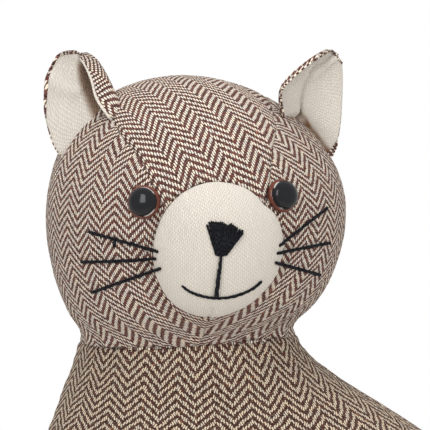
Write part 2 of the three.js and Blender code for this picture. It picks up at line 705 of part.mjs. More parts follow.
// One layer of an ear, between two distances in front of its middle surface, set in along its edges.
function earLayer(ear, back, front, inset) {
  const surface = earSurface(ear);
  const inward = ear === EARS.left ? 1 : -1;
  const face = (distance) => (s, t) => {
    const u = THREE.MathUtils.lerp(inset, 1 - 4 * inset, inward > 0 ? s : 1 - s);
    const v = t * (1 - inset);
    const e = 0.01;
    const across = surface(Math.min(u + e, 1), v).sub(surface(Math.max(u - e, 0), v));
    const upward = surface(u, Math.min(v + e, 1)).sub(surface(u, Math.max(v - e, 0)));
    const normal = across.cross(upward).normalize().multiplyScalar(inward);
    return clearOfHead(surface(u, v).addScaledVector(normal, distance), t === 0);
  };
  return sheet(12, 6, face(front), face(back));
}

const bodyEnvelope = bodyLoft(CLEARANCE);
const tailInside = tailTube(STUFFING);

add('body_side_near', bodySide(-1), TWEED_LOOK);
add('body_side_far', bodySide(1), TWEED_LOOK);
add('base_panel', basePanel(), TWEED_LOOK);
add('body_stuffing', bodyStuffing(), STUFFING_LOOK);
add('weight_bag_upper_panel', bagPanel(1), CALICO_LOOK);
add('weight_bag_lower_panel', bagPanel(-1), CALICO_LOOK);
add('weight_grit', grit(), GRIT_LOOK);
add('tail_cover', fromSolid(tailTube(0).subtract(tailTube(TWEED)).subtract(bodyEnvelope)), TWEED_LOOK);
add('tail_stuffing', fromSolid(tailInside.subtract(bodyEnvelope)), STUFFING_LOOK);

add('forehead_gusset', headPanel(SEAM_STEPS, 7, gussetDirections(), true), TWEED_LOOK);
const leftPanel = headPanel(9, SEAM_STEPS, headSideDirections(-1), true);
const rightPanel = headPanel(9, SEAM_STEPS, headSideDirections(1), false);
add('head_side_left', fromSolid(withoutEye(solid(leftPanel), -1)), TWEED_LOOK);
add('head_side_right', fromSolid(withoutEye(solid(rightPanel), 1)), TWEED_LOOK);
add('muzzle_panel', muzzlePanel(), COTTON_LOOK);
add('head_stuffing', fromSolid(withoutEyeFittings(headStuffing())), STUFFING_LOOK);

for (const [name, ear] of Object.entries(EARS)) {
  add(`${name}_ear_back`, earLayer(ear, -EAR_GAP / 2 - TWEED, -EAR_GAP / 2, 0), TWEED_LOOK);
  add(`${name}_ear_lining`, earLayer(ear, EAR_GAP / 2, EAR_GAP / 2 + COTTON, LINING_INSET), COTTON_LOOK);
}

for (const [name, side] of [['left', -1], ['right', 1]]) {
  add(`${name}_eye_dome`, eyeDome(side), AMBER_LOOK);
  add(`${name}_eye_pupil`, eyePupil(side), BLACK_LOOK);
  add(`${name}_eye_washer`, eyeWasher(side), WASHER_LOOK);
}

add('nose_satin_stitch', nose(), THREAD_LOOK);
add('lip_thread', thread(stitched([-0.6, -0.4], [-0.7, -14.8], 5), MOUTH_THICKNESS, 10), THREAD_LOOK);
const SMILE = [[-13.7, -11.1], [-8.4, -14.2], [-0.7, -16.1], [4.4, -16.2], [10, -15.2], [16.9, -11.5]];
add('mouth_thread', thread(SMILE, MOUTH_THICKNESS, 14), THREAD_LOOK);

const WHISKERS = {
  left_whisker_upper: [[-WHISKER_START, 1.8], [-59.2, 4.9]],
  left_whisker_middle: [[-WHISKER_START, -3], [-63.2, -11.5]],
  left_whisker_lower: [[-WHISKER_START, -10.2], [-55.7, -26]],
  right_whisker_upper: [[WHISKER_START, 3], [59.7, 11.1]],
  right_whisker_middle: [[WHISKER_START, -2.8], [61.1, -7.2]],
  right_whisker_lower: [[WHISKER_START, -9.4], [55.8, -22.8]],
};
for (const [name, [from, to]] of Object.entries(WHISKERS)) {
  add(name, thread(stitched(from, to, 6), WHISKER_THICKNESS, 8), THREAD_LOOK);
}

export default door_stop;
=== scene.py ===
"""A stuffed cat door stop: tweed panels, cotton muzzle, toy eyes and embroidery over its CAD frame."""

import math

import bmesh
import bpy
from bpy.props import FloatProperty, FloatVectorProperty, IntProperty, PointerProperty
from mathutils import Matrix, Vector, noise
from mathutils.kdtree import KDTree


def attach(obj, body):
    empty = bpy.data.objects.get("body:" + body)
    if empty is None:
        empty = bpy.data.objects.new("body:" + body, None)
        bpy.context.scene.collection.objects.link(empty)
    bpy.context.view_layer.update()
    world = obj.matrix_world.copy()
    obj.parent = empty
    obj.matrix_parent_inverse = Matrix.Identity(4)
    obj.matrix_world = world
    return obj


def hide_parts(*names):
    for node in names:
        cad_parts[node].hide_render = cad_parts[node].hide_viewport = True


bl_info = {
    "name": "Cat Door Stop",
    "version": (1, 0, 0),
    "blender": (4, 5, 0),
    "location": "View3D > Sidebar > Cat",
    "description": "Sews, stuffs and embroiders a cat door stop in herringbone tweed",
    "category": "Add Mesh",
}

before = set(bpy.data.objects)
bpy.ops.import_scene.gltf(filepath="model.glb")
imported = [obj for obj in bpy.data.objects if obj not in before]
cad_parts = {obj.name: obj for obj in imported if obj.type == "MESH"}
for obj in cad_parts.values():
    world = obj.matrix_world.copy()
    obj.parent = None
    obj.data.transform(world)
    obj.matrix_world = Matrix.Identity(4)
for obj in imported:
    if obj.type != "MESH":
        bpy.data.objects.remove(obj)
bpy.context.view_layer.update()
MM = 0.001
DOWN = -math.pi / 2  # straight down on the face, and to the front round the head

# Forms shared with the part's source, in millimetres, with the cat's left and right as the viewer sees them.
NECK = Vector((-24, 0, 165))  # middle of the neck seam
NECK_HALF = (49.5, 46)
NECK_FLARE = 13  # height over which the head widens to the neck seam
NECK_LIFT = 4.6  # rise of the neck seam at the right of the chest
NECK_LIFT_AT = math.radians(-50)
NECK_LIFT_REACH = 16
HEAD_HALF = Vector((67.2, 64, 61.6))
CHIN_DEPTH = 75.3  # half height of the head under its middle
HEAD_CENTRE = Vector((-20.4, -4, 224))
HEAD_TURN = Matrix.Rotation(math.radians(8.5), 3, "Z") @ Matrix.Rotation(math.radians(-2), 3, "Y")
HEAD_LEAN = 6.5  # how far the crown and the chin lie to the left of the middle
MUZZLE_RADIUS = 29.5
MUZZLE_NARROWER = 2.0  # how much shorter its reach is on the left
MUZZLE_RISE = 11
MUZZLE_RIM = 1.6  # height at its seam
MUZZLE_DROOP = math.radians(9.5)
EYE_RIGHT = 31.2  # place of the eyes from the middle of the muzzle
EYE_UP = 20.8
EYE_DENT_AT = math.radians(42)  # where the right eye presses the muzzle's edge in
EYE_DENT_WIDTH = math.radians(10)
EYE_DENT_DEPTH = 2.1
BASE_HALF = (83.5, 53)
BASE_MIDDLE = -0.5
BASE_THICKNESS = 1.2
BODY_BOTTOM = 1.5

# The body's outline from the neck to its widest ring and on to the base, each as the four points of a curve:
# heights, then reach behind, before and beside the neck's middle. The shoulders are drawn in under the neck.
UPPER_Z = (165.15, 145.2, 116, 60)
LOWER_Z = (60, 28, 9, BODY_BOTTOM)
BACK = ((49.5, 49.8, 167.6, 126), (126, 113.4, 112, 107))
CHEST = ((49.5, 53, 73.8, 74), (74, 75, 71, 60))
DEPTH = ((46, 47.5, 66, 66), (66, 66, 63, 53))
TAIL_RADIUS = 13  # at its root
TAIL_TIP = 8.5  # and at its tip


def linear(text):
    """Linear RGBA of an sRGB hex colour."""
    shades = [int(text[i:i + 2], 16) / 255 for i in (0, 2, 4)]
    return (*((c / 12.92 if c <= 0.04045 else ((c + 0.055) / 1.055) ** 2.4) for c in shades), 1.0)


def colour(name, description, text):
    """Colour property with an sRGB hex default."""
    return FloatVectorProperty(
        name=name, description=description, subtype="COLOR", size=4, min=0, max=1, default=linear(text))


class CatClothSettings(bpy.types.PropertyGroup):
    """Yarns and threads of the cat's cloths."""
    yarn_pitch: FloatProperty(
        name="Yarn pitch", description="Distance between tweed yarns, in mm", default=1.0)
    column_ends: IntProperty(name="Column ends", description="Yarns in one herringbone column", default=8)
    cotton_pitch: FloatProperty(
        name="Cotton pitch", description="Distance between cotton yarns, in mm", default=0.9)
    cream: colour("Cream yarn", "Warp of the tweed", "F6EEE2")
    oatmeal: colour("Oatmeal yarn", "Darker stretches of the warp", "DCCDB8")
    maroon: colour("Maroon yarn", "Weft of the tweed", "6C3028")
    umber: colour("Umber yarn", "Darker stretches of the weft", "361B13")
    rust: colour("Rust fleck", "Odd coloured fibres spun into the weft", "A8603A")
    # Painted shade: the body and tail get a darker copy of the tweed, standing in for the shade that falls on
    # them.
    painted_shade_copy: colour("Painted shade copy", "Painted shade on the body's tweed over the head's", "ECE6DC")
    # Painted shade: brown laid over the ear linings where they lie in shade.
    painted_shade_tint: colour("Painted shade on cotton", "Painted shade in the hollows, folds and base of the ears", "8A6749")
    ecru: colour("Ecru cotton", "Muzzle and ear linings", "D6CEC3")
    black: colour("Black thread", "Embroidery thread", "060607")


class CatSewingSettings(bpy.types.PropertyGroup):
    """How the panels are drawn in by their seams and filled."""
    seam_depth: FloatProperty(
        name="Seam depth", description="How far a seam draws the cloth in, in mm", default=0.65)
    seam_width: FloatProperty(name="Seam width", description="Reach of a seam's crease, in mm", default=1.3)
    pucker: FloatProperty(
        name="Pucker", description="Height of the ripples beside a seam, in mm", default=0.6)
    lumps: FloatProperty(name="Lumps", description="Unevenness of the stuffing, in mm", default=0.5)
    tweed_thickness: FloatProperty(name="Tweed", description="Thickness of the tweed, in mm", default=1.0)
    cotton_thickness: FloatProperty(name="Cotton", description="Thickness of the cotton, in mm", default=0.6)
    whisker: FloatProperty(name="Whisker", description="Thickness of a whisker's thread, in mm", default=1.35)
    lip: FloatProperty(name="Lip", description="Thickness of the thread under the nose, in mm", default=1.7)
    mouth: FloatProperty(name="Mouth", description="Thickness of the mouth's thread, in mm", default=1.2)


class CatEyeSettings(bpy.types.PropertyGroup):
    """Toy eyes: a clear dome with a brown rim, cast onto a black pupil."""
    radius: FloatProperty(name="Dome radius", description="Outer radius, in mm", default=7.25)
    height: FloatProperty(name="Dome height", description="Height over the cloth, in mm", default=6.4)
    pupil_radius: FloatProperty(
        name="Pupil radius", description="Radius of the black pupil, in mm", default=5.95)
    pupil_height: FloatProperty(
        name="Pupil height", description="Height of the black pupil, in mm", default=5.8)
    amber: colour("Amber", "Dye of the rim", "6F3A2C")


class CatStageSettings(bpy.types.PropertyGroup):
    """Light, floor and camera."""
    top: FloatProperty(
        name="Top light", description="Power of the soft light overhead, in W", unit="POWER", default=8.4)
    key: FloatProperty(
        name="Key light", description="Power of the soft light in front on the left, in W",
        unit="POWER", default=8.8)
    fill: FloatProperty(
        name="Fill light", description="Power of the soft light in front on the right, in W",
        unit="POWER", default=6.8)
    surround: FloatProperty(name="Surround", description="Strength of the light from all sides", default=0.71)
    distance: FloatProperty(name="Distance", description="From the camera to the neck, in mm", default=1300)
    elevation: FloatProperty(
        name="Elevation", description="Angle at which the camera looks down", subtype="ANGLE",
        default=math.radians(5))
    scale: FloatProperty(name="Scale", description="Size of a pixel at the neck, in mm", default=0.45)


# Forms of the head and the body.

def share_between(value, start, end):
    """How far a value has gone from one to another, from 0 to 1."""
    return min(max((value - start) / (end - start), 0), 1)


def lengths_along(route):
    """Length of a route up to each of its points."""
    lengths = [0.0]
    for a, b in zip(route, route[1:]):
        lengths.append(lengths[-1] + (b - a).length)
    return lengths


def flared_to_neck(p, offset):
    """Just above the neck seam the head widens to meet the body."""
    share = share_between(p.z, NECK.z + NECK_FLARE, NECK.z) ** 1.5
    width, depth = NECK_HALF[0] + offset, NECK_HALF[1] + offset
    angle = math.atan2(p.y / depth, (p.x - NECK.x) / width)
    target = Vector((NECK.x + width * math.cos(angle), depth * math.sin(angle), p.z))
    return p.lerp(target, share)


def with_neck_raised(p):
    """The neck seam runs a little higher at the right of the chest than at the left."""
    angle = math.atan2(p.y, p.x - NECK.x)
    lift = NECK_LIFT * (0.5 + 0.5 * math.cos(angle - NECK_LIFT_AT)) ** 2
    p.z += lift * math.exp(-((p.z - NECK.z) / NECK_LIFT_REACH) ** 2)
    return p


def head_point(direction, offset=0.0):
    """Surface of the head in a direction from its centre, in the head's own frame."""
    d = direction.normalized()
    height = CHIN_DEPTH if d.z < 0 else HEAD_HALF.z
    radius = 1 / math.hypot(d.x / HEAD_HALF.x, d.y / HEAD_HALF.y, d.z / height)
    p = HEAD_TURN @ (d * (radius + offset))
    p.x -= HEAD_LEAN * (p.z / HEAD_HALF.z) ** 2
    return flared_to_neck(p + HEAD_CENTRE, offset)


def polar(azimuth, tilt):
    """Direction at an angle round the upright axis and one from straight down."""
    return Vector((math.cos(azimuth) * math.sin(tilt), math.sin(azimuth) * math.sin(tilt), -math.cos(tilt)))


def neck_tilt(azimuth):
    """Angle from straight down at which the head's surface reaches the neck seam."""
    low, high = 0.3, 1.5
    for _ in range(30):
        tilt = (low + high) / 2
        if head_point(polar(azimuth, tilt)).z < NECK.z:
            low = tilt
        else:
            high = tilt
    return (low + high) / 2


def neck_edge(azimuth):
    """Direction in which the head's surface reaches the neck seam."""
    return polar(azimuth, neck_tilt(azimuth))


FACE_OUT = Vector((0, -math.cos(MUZZLE_DROOP), -math.sin(MUZZLE_DROOP)))
FACE_UP = FACE_OUT.cross(Vector((1, 0, 0)))


def face_direction(right, up):
    """Direction of a place on the face, in mm of cloth from the middle of the muzzle."""
    reach = math.hypot(right, up)
    angle = reach / HEAD_HALF.y
    d = FACE_OUT * math.cos(angle)
    if reach:
        d += (Vector((1, 0, 0)) * right + FACE_UP * up) * (math.sin(angle) / reach)
    return d


def muzzle_reach(angle, share=1.0):
    """Reach of the muzzle, or of a ring at a share of it: less on the left and beside the right eye."""
    left = max(0.0, -math.cos(angle)) ** 1.5
    beside_eye = math.exp(-(math.remainder(angle - EYE_DENT_AT, 2 * math.pi) / EYE_DENT_WIDTH) ** 2)
    return MUZZLE_RADIUS - MUZZLE_NARROWER * left - EYE_DENT_DEPTH * beside_eye * min(share, 1) ** 8


def muzzle_height(right, up):
    """Height of the stuffed muzzle above the head."""
    angle = math.atan2(up, right)
    # The reach hangs on the share a little, so a first guess at the share gives the reach for the second.
    share = math.hypot(right, up) / muzzle_reach(angle, 0)
    share = math.hypot(right, up) / muzzle_reach(angle, share)
    if share >= 1:
        return 0.0
    return MUZZLE_RIM + MUZZLE_RISE * (1 - share * share) ** 0.75


def face_point(right, up):
    """Surface of the face, muzzle and all, at a place on it."""
    return head_point(face_direction(right, up), muzzle_height(right, up))


def muzzle_edge(angle):
    """Direction of the muzzle's seam at an angle round it."""
    reach = muzzle_reach(angle)
    return face_direction(reach * math.cos(angle), reach * math.sin(angle))


def bezier(p, t):
    """Value or point at a share of the curve of four numbers or points."""
    s = 1 - t
    return s * s * s * p[0] + 3 * s * s * t * p[1] + 3 * s * t * t * p[2] + t * t * t * p[3]


def body_point(angle, down, offset=0.0):
    """Surface of the body at an angle round it, from 0 at the neck to 2 at the base."""
    part = 0 if down < 1 else 1
    t = down - part
    back, chest = bezier(BACK[part], t), bezier(CHEST[part], t)
    depth = bezier(DEPTH[part], t) + offset
    width = (back + chest) / 2 + offset
    z = bezier(UPPER_Z if part == 0 else LOWER_Z, t)
    return Vector((NECK.x + (back - chest) / 2 + width * math.cos(angle), depth * math.sin(angle), z))


def spline(points, t):
    """Point at a share of a smooth curve through the given points."""
    last = len(points) - 1
    place = min(max(t, 0), 1) * last
    i = min(int(place), last - 1)
    f = place - i
    a, b = points[max(i - 1, 0)], points[i]
    c, d = points[i + 1], points[min(i + 2, last)]
    if i == 0:
        a = b * 2 - c
    if i + 2 > last:
        d = c * 2 - b
    return 0.5 * ((b * 2) + (c - a) * f + (a * 2 - b * 5 + c * 4 - d) * f * f
                  + (b * 3 - a - c * 3 + d) * f * f * f)


GUSSET_CORNER = math.radians(37)  # where the forehead gusset meets the muzzle, from its right
GUSSET_END = math.radians(16)  # half width of the gusset at the nape
GUSSET_FRONT = ((28, 30), (33, 42), (42, 54), (48, 65))  # its seam past the eye, as places on the face
GUSSET_BACK = (  # and on past the ear to the nape, as directions
    (0.58, 0, 0.81), (0.47, 0.55, 0.69), (0.33, 0.9, 0.28), (0.25, 0.95, -0.2))


def gusset_seam(side, t):
    """Seam beside the forehead gusset, from the muzzle past the eye and the ear to the nape."""
    points = [muzzle_edge(GUSSET_CORNER if side > 0 else math.pi - GUSSET_CORNER)]
    points += [face_direction(side * right, up) for right, up in GUSSET_FRONT]
    points += [Vector((side * x, y, z)) for x, y, z in GUSSET_BACK]
    points.append(neck_edge(-DOWN - side * GUSSET_END))
    return spline(points, t).normalized()


# Cloth panels.

def inside_seams(across, along, front, back, low, high):
    """Grid of directions inside four seams, each given as a function from 0 to 1."""
    fronts = [front(j / along) for j in range(along + 1)]
    backs = [back(j / along) for j in range(along + 1)]
    lows = [low(i / across) for i in range(across + 1)]
    highs = [high(i / across) for i in range(across + 1)]
    grid = {}
    for j in range(along + 1):
        v = j / along
        for i in range(across + 1):
            u = i / across
            p = fronts[j] * (1 - u) + backs[j] * u + lows[i] * (1 - v) + highs[i] * v
            p -= lows[0] * (1 - u) * (1 - v) + lows[-1] * u * (1 - v)
            p -= highs[0] * (1 - u) * v + highs[-1] * u * v
            grid[i, j] = p.normalized()
    return grid


SEAMS_APART = 311.7  # added from seam to seam, so that no two of them ripple alike


def seam_finder(seams, count=400):
    """Search tree over seam lines that gives the distance to the nearest and the place along it."""
    tree = KDTree(len(seams) * (count + 1))
    along = []
    for number, seam in enumerate(seams):
        points = [seam(i / count) for i in range(count + 1)]
        for point, length in zip(points, lengths_along(points)):
            tree.insert(point, len(along))
            along.append(length + SEAMS_APART * number)
    tree.balance()

    def nearest(point):
        _, index, distance = tree.find(point)
        return distance, along[index]
    return nearest


def drawn_in(point, seams, sewing):
    """Height of the cloth over its form: low at the seams, rippled beside them and lumpy between."""
    distance, along = seams(point)
    crease = -sewing.seam_depth * math.exp(-(distance / sewing.seam_width) ** 1.3)
    # Ripples follow the stitches along the seam and die out within some millimetres of it.
    ripple = noise.noise(Vector((along / 3.6, 0.37, distance / 20))) * math.exp(-distance / 5)
    ripple *= 1 - math.exp(-distance / 1.5)
    # Lumps of fibre in two sizes show where the seams no longer hold the cloth.
    lump = noise.noise(point / 26) * 0.7 + noise.noise(point / 11 + Vector((5, 1, 3))) * 0.3
    lump *= 1 - math.exp(-distance / 9)
    return crease + sewing.pucker * ripple * 2 + sewing.lumps * lump + 0.2 * noise.noise(point / 1.4)


def cloth_grid(across, along, place, weave, painted_shade=None):
    """Flat grid of cloth, its vertices moved onto the form and its weave in the UV map.

    place and weave give a station's point and its place on the cloth, both in mm. The last function gives
    how strong the painted shade is at a station, from 0 to 1, and goes into an attribute named like that
    argument.
    """
    bm = bmesh.new()
    depth = bm.verts.layers.float.new("painted_shade")
    bmesh.ops.create_grid(bm, x_segments=across, y_segments=along, size=0.5)
    station = {v: (round((v.co.x + 0.5) * across), round((v.co.y + 0.5) * along)) for v in bm.verts}
    layer = bm.loops.layers.uv.new("weave")
    for face in bm.faces:
        for loop in face.loops:
            loop[layer].uv = weave(*station[loop.vert])
    for vert, (i, j) in station.items():
        vert.co = place(i, j) * MM
        vert[depth] = painted_shade(i, j) if painted_shade else 0.0
    return bm


def finished(name, bm, material, nodes):
    """Make the piece from its mesh and put it on the frame in place of its solids."""
    mesh = bpy.data.meshes.new(name)
    bm.to_mesh(mesh)
    bm.free()
    mesh.polygons.foreach_set("use_smooth", [True] * len(mesh.polygons))
    mesh.materials.append(material)
    piece = bpy.data.objects.new(name, mesh)
    bpy.context.scene.collection.objects.link(piece)
    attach(piece, "root")
    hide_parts(*nodes)
    return piece


def given_thickness(piece, thickness):
    """Thicken the sheet inwards from its outer face."""
    wall = piece.modifiers.new("Cloth", "SOLIDIFY")
    wall.thickness = thickness * MM
    wall.offset = -1
    return piece


def outward(bm, towards):
    """Turn the whole sheet over where its faces look away from a direction."""
    bm.normal_update()
    total = sum((f.normal * f.calc_area() for f in bm.faces), Vector())
    if total.dot(towards) < 0:
        bmesh.ops.reverse_faces(bm, faces=bm.faces[:])


def rotated(a, b, lean):
    """Place on the cloth, with the weave turned by an angle."""
    return a * math.cos(lean) + b * math.sin(lean), b * math.cos(lean) - a * math.sin(lean)


def head_panel(name, grid, size, seams, chart, towards):
    """One tweed panel of the head over its grid of directions."""
    sewing = bpy.context.scene.cat_sewing
    finder = seam_finder(seams)

    def place(i, j):
        d = grid[i, j]
        return with_neck_raised(head_point(d, drawn_in(head_point(d), finder, sewing)))

    bm = cloth_grid(*size, place, lambda i, j: chart(grid[i, j]))
    outward(bm, towards)
    piece = finished(f"{name}_cloth", bm, tweed_material(), [name])
    return given_thickness(piece, sewing.tweed_thickness)


# Materials. Each lies on the piece's own coordinates: cloth and thread on the weave in the UV map, in mm.

def add(tree, kind, inputs=None, **settings):
    """Add one node, set its options and set or link its inputs."""
    node = tree.nodes.new(kind)
    for key, value in settings.items():
        setattr(node, key, value)
    for key, value in (inputs or {}).items():
        if isinstance(value, bpy.types.NodeSocket):
            tree.links.new(value, node.inputs[key])
        else:
            node.inputs[key].default_value = value
    return node


def new_material(name):
    """Empty material with its surface shader."""
    material = bpy.data.materials.new(name)
    material.use_nodes = True
    tree = material.node_tree
    tree.nodes.clear()
    shader = add(tree, "ShaderNodeBsdfPrincipled")
    add(tree, "ShaderNodeOutputMaterial", {"Surface": shader.outputs[0]})
    return material, tree, shader


def worked_out(tree, value, steps):
    """Chain of Math nodes: each step names its result, its operation and its operands."""
    for result, operation, *operands in steps:
        inputs = {i: value.get(o, o) for i, o in enumerate(operands)}
        value[result] = add(tree, "ShaderNodeMath", inputs, operation=operation).outputs[0]


def mixed(tree, factor, a, b, **settings):
    """Mix of two colours or values, each a socket or a constant."""
    return add(tree, "ShaderNodeMix", {"Factor": factor, "A": a, "B": b}, **settings).outputs["Result"]


def pulled_about(tree, place, pulls):
    """Coordinates shifted by noise, in turn for each pull with its noise settings and its reach in mm."""
    shifted = place
    for (scale, detail), reach in pulls:
        pull = add(tree, "ShaderNodeTexNoise", {"Vector": place, "Scale": scale, "Detail": detail})
        centred = add(tree, "ShaderNodeVectorMath", {
            0: pull.outputs["Color"], 1: (0.5, 0.5, 0.5)}, operation="SUBTRACT")
        shifted = add(tree, "ShaderNodeVectorMath", {
            0: centred.outputs[0], 1: (reach, reach, 0.0), 2: shifted}, operation="MULTIPLY_ADD").outputs[0]
    return shifted


def counted(tree, place, pitch):
    """Yarns counted along and across the weave from coordinates in mm."""
    yarns = add(tree, "ShaderNodeVectorMath", {0: place, "Scale": 1 / pitch}, operation="SCALE")
    split = add(tree, "ShaderNodeSeparateXYZ", {0: yarns.outputs[0]})
    return {"s": split.outputs[0], "t": split.outputs[1]}


def surfaced(tree, shader, tone, height, relief_mm, roughness, specular=0.5, sheen=0.0, strength=1.0):
    """Wire colour and relief to the surface shader, and set how matt it is."""
    bump = add(tree, "ShaderNodeBump", {"Strength": strength, "Distance": relief_mm * MM, "Height": height})
    tree.links.new(tone, shader.inputs["Base Color"])
    tree.links.new(bump.outputs[0], shader.inputs["Normal"])
    shader.inputs["Roughness"].default_value = roughness
    shader.inputs["Specular IOR Level"].default_value = specular
    shader.inputs["Sheen Weight"].default_value = sheen


def tweed_material(painted_shade_copy=False):
    """Woven wool tweed, brushed lightly: matt, with round yarns. The body and tail get a darker copy: painted
    shade.
    """
    name = "Woven herringbone wool tweed" + (", browner" if painted_shade_copy else "")
    if name in bpy.data.materials:
        return bpy.data.materials[name]
    cloth = bpy.context.scene.cat_cloth
    material, tree, shader = new_material(name)
    uv = add(tree, "ShaderNodeUVMap", uv_map="weave").outputs[0]
    # The loom's even grid is pulled about: widely by the stuffing, finely by thick and thin yarns.
    value = counted(tree, pulled_about(tree, uv, (((0.03, 1.0), 2.4), ((0.7, 2.0), 0.5))), cloth.yarn_pitch)
    # No two ends are beaten up alike, so each one's floats lie a little higher or lower.
    worked_out(tree, value, (("end", "FLOOR", "s"),))
    beaten = add(tree, "ShaderNodeTexWhiteNoise", {"W": value["end"]}, noise_dimensions="1D")
    value["beaten"] = beaten.outputs["Value"]
    worked_out(tree, value, (
        ("beaten", "SUBTRACT", "beaten", 0.5), ("t", "MULTIPLY_ADD", "beaten", 0.5, "t"),
    ))

    # 2/2 twill that turns back every column: phases 0 and 1 show the warp, 2 and 3 the weft.
    worked_out(tree, value, (
        ("pick", "FLOOR", "t"),
        ("across", "FRACT", "s"), ("up", "FRACT", "t"),
        ("column", "DIVIDE", "end", cloth.column_ends), ("column", "FLOOR", "column"),
        ("turn", "FLOORED_MODULO", "column", 2), ("turn", "MULTIPLY_ADD", "turn", -2, 1),
        ("step", "MULTIPLY_ADD", "end", "turn", "pick"), ("phase", "FLOORED_MODULO", "step", 4),
        ("cycle", "DIVIDE", "step", 4), ("cycle", "FLOOR", "cycle"),
        ("warp", "LESS_THAN", "phase", 1.5),
        ("warp_along", "ADD", "phase", "up"), ("warp_along", "DIVIDE", "warp_along", 2),
        ("weft_along", "SUBTRACT", "phase", 2.5), ("weft_along", "MULTIPLY_ADD", "weft_along", "turn", 0.5),
        ("weft_along", "ADD", "weft_along", "across"), ("weft_along", "DIVIDE", "weft_along", 2),
        ("warp_side", "MULTIPLY_ADD", "across", 2, -1), ("weft_side", "MULTIPLY_ADD", "up", 2, -1),
    ))
    for result, of_weft, of_warp in (
            ("along", "weft_along", "warp_along"), ("side", "weft_side", "warp_side"),
            ("yarn", "pick", "end")):
        value[result] = mixed(tree, value["warp"], value[of_weft], value[of_warp])

    # Each float of yarn is a grain, round across and narrowing to where it dives under.
    worked_out(tree, value, (
        ("end_side", "MULTIPLY_ADD", "along", 2, -1), ("end_side", "POWER", "end_side", 4),
        ("cross", "MULTIPLY", "side", "side"), ("cross", "MULTIPLY", "cross", 1.5),
        ("spread", "MULTIPLY_ADD", "end_side", 0.55, "cross"),
        ("height", "SUBTRACT", 1.25, "spread"), ("height", "MAXIMUM", "height", 0.0),
        ("height", "SQRT", "height"),
    ))
    grain = add(tree, "ShaderNodeMapRange", {
        "Value": value["spread"], "From Min": 1.2, "From Max": 0.5}, interpolation_type="SMOOTHSTEP")

    # Every float is spun a little lighter or darker than the next, and the dark wool has odd fibres in it.
    label = add(tree, "ShaderNodeCombineXYZ", {0: value["yarn"], 1: value["cycle"], 2: value["warp"]})
    spun = add(tree, "ShaderNodeTexWhiteNoise", {"Vector": label.outputs[0]}, noise_dimensions="3D")
    slub = add(tree, "ShaderNodeTexNoise", {"Vector": uv, "Scale": 0.5, "Detail": 3.0, "Roughness": 0.7})
    rare = add(tree, "ShaderNodeTexNoise", {"Vector": uv, "Scale": 0.3, "Detail": 1.5})
    fuzz = add(tree, "ShaderNodeTexNoise", {"Vector": uv, "Scale": 2.6, "Detail": 3.0, "Roughness": 0.65})
    fleck = add(tree, "ShaderNodeMapRange", {
        "Value": rare.outputs[0], "From Min": 0.69, "From Max": 0.73, "To Min": 0.0, "To Max": 0.75})
    dark = add(tree, "ShaderNodeMapRange", {"Value": slub.outputs[0], "From Min": 0.38, "From Max": 0.66})
    weft = mixed(tree, dark.outputs[0], tuple(cloth.maroon), tuple(cloth.umber), data_type="RGBA")
    # Painted shade: the copy's weft is darker.
    if painted_shade_copy:
        weft = mixed(tree, 0.5, weft, tuple(cloth.umber), data_type="RGBA")
    weft = mixed(tree, fleck.outputs[0], weft, tuple(cloth.rust), data_type="RGBA")
    warp = mixed(tree, spun.outputs["Value"], tuple(cloth.cream), tuple(cloth.oatmeal), data_type="RGBA")
    yarn = mixed(tree, value["warp"], weft, warp, data_type="RGBA")
    stray = mixed(tree, value["warp"], tuple(cloth.cream), weft, data_type="RGBA")
    hairs = add(tree, "ShaderNodeMapRange", {
        "Value": fuzz.outputs[0], "From Min": 0.5, "From Max": 0.72, "To Min": 0.0, "To Max": 0.5})
    haired = mixed(tree, hairs.outputs[0], yarn, stray, data_type="RGBA")
    # Between the grains the weft beneath shows, mixed towards umber: partly its own colour, partly painted
    # shade in the gaps.
    under = mixed(tree, 0.8, weft, tuple(cloth.umber), data_type="RGBA")
    woven = mixed(tree, grain.outputs[0], under, haired, data_type="RGBA")
    tone = add(tree, "ShaderNodeMapRange", {"Value": spun.outputs["Value"], "To Min": 0.78, "To Max": 1.2})
    finish = mixed(tree, 1.0, woven, tone.outputs[0], data_type="RGBA", blend_type="MULTIPLY")
    # Painted shade: the whole copy is darkened and warmed by its tint.
    if painted_shade_copy:
        finish = mixed(tree, 1.0, finish, tuple(cloth.painted_shade_copy), data_type="RGBA", blend_type="MULTIPLY")
    worked_out(tree, value, (("relief", "MULTIPLY_ADD", fuzz.outputs[0], 0.5, "height"),))
    surfaced(tree, shader, finish, value["relief"], 0.45, roughness=0.95, specular=0.08, sheen=0.04)
    return material


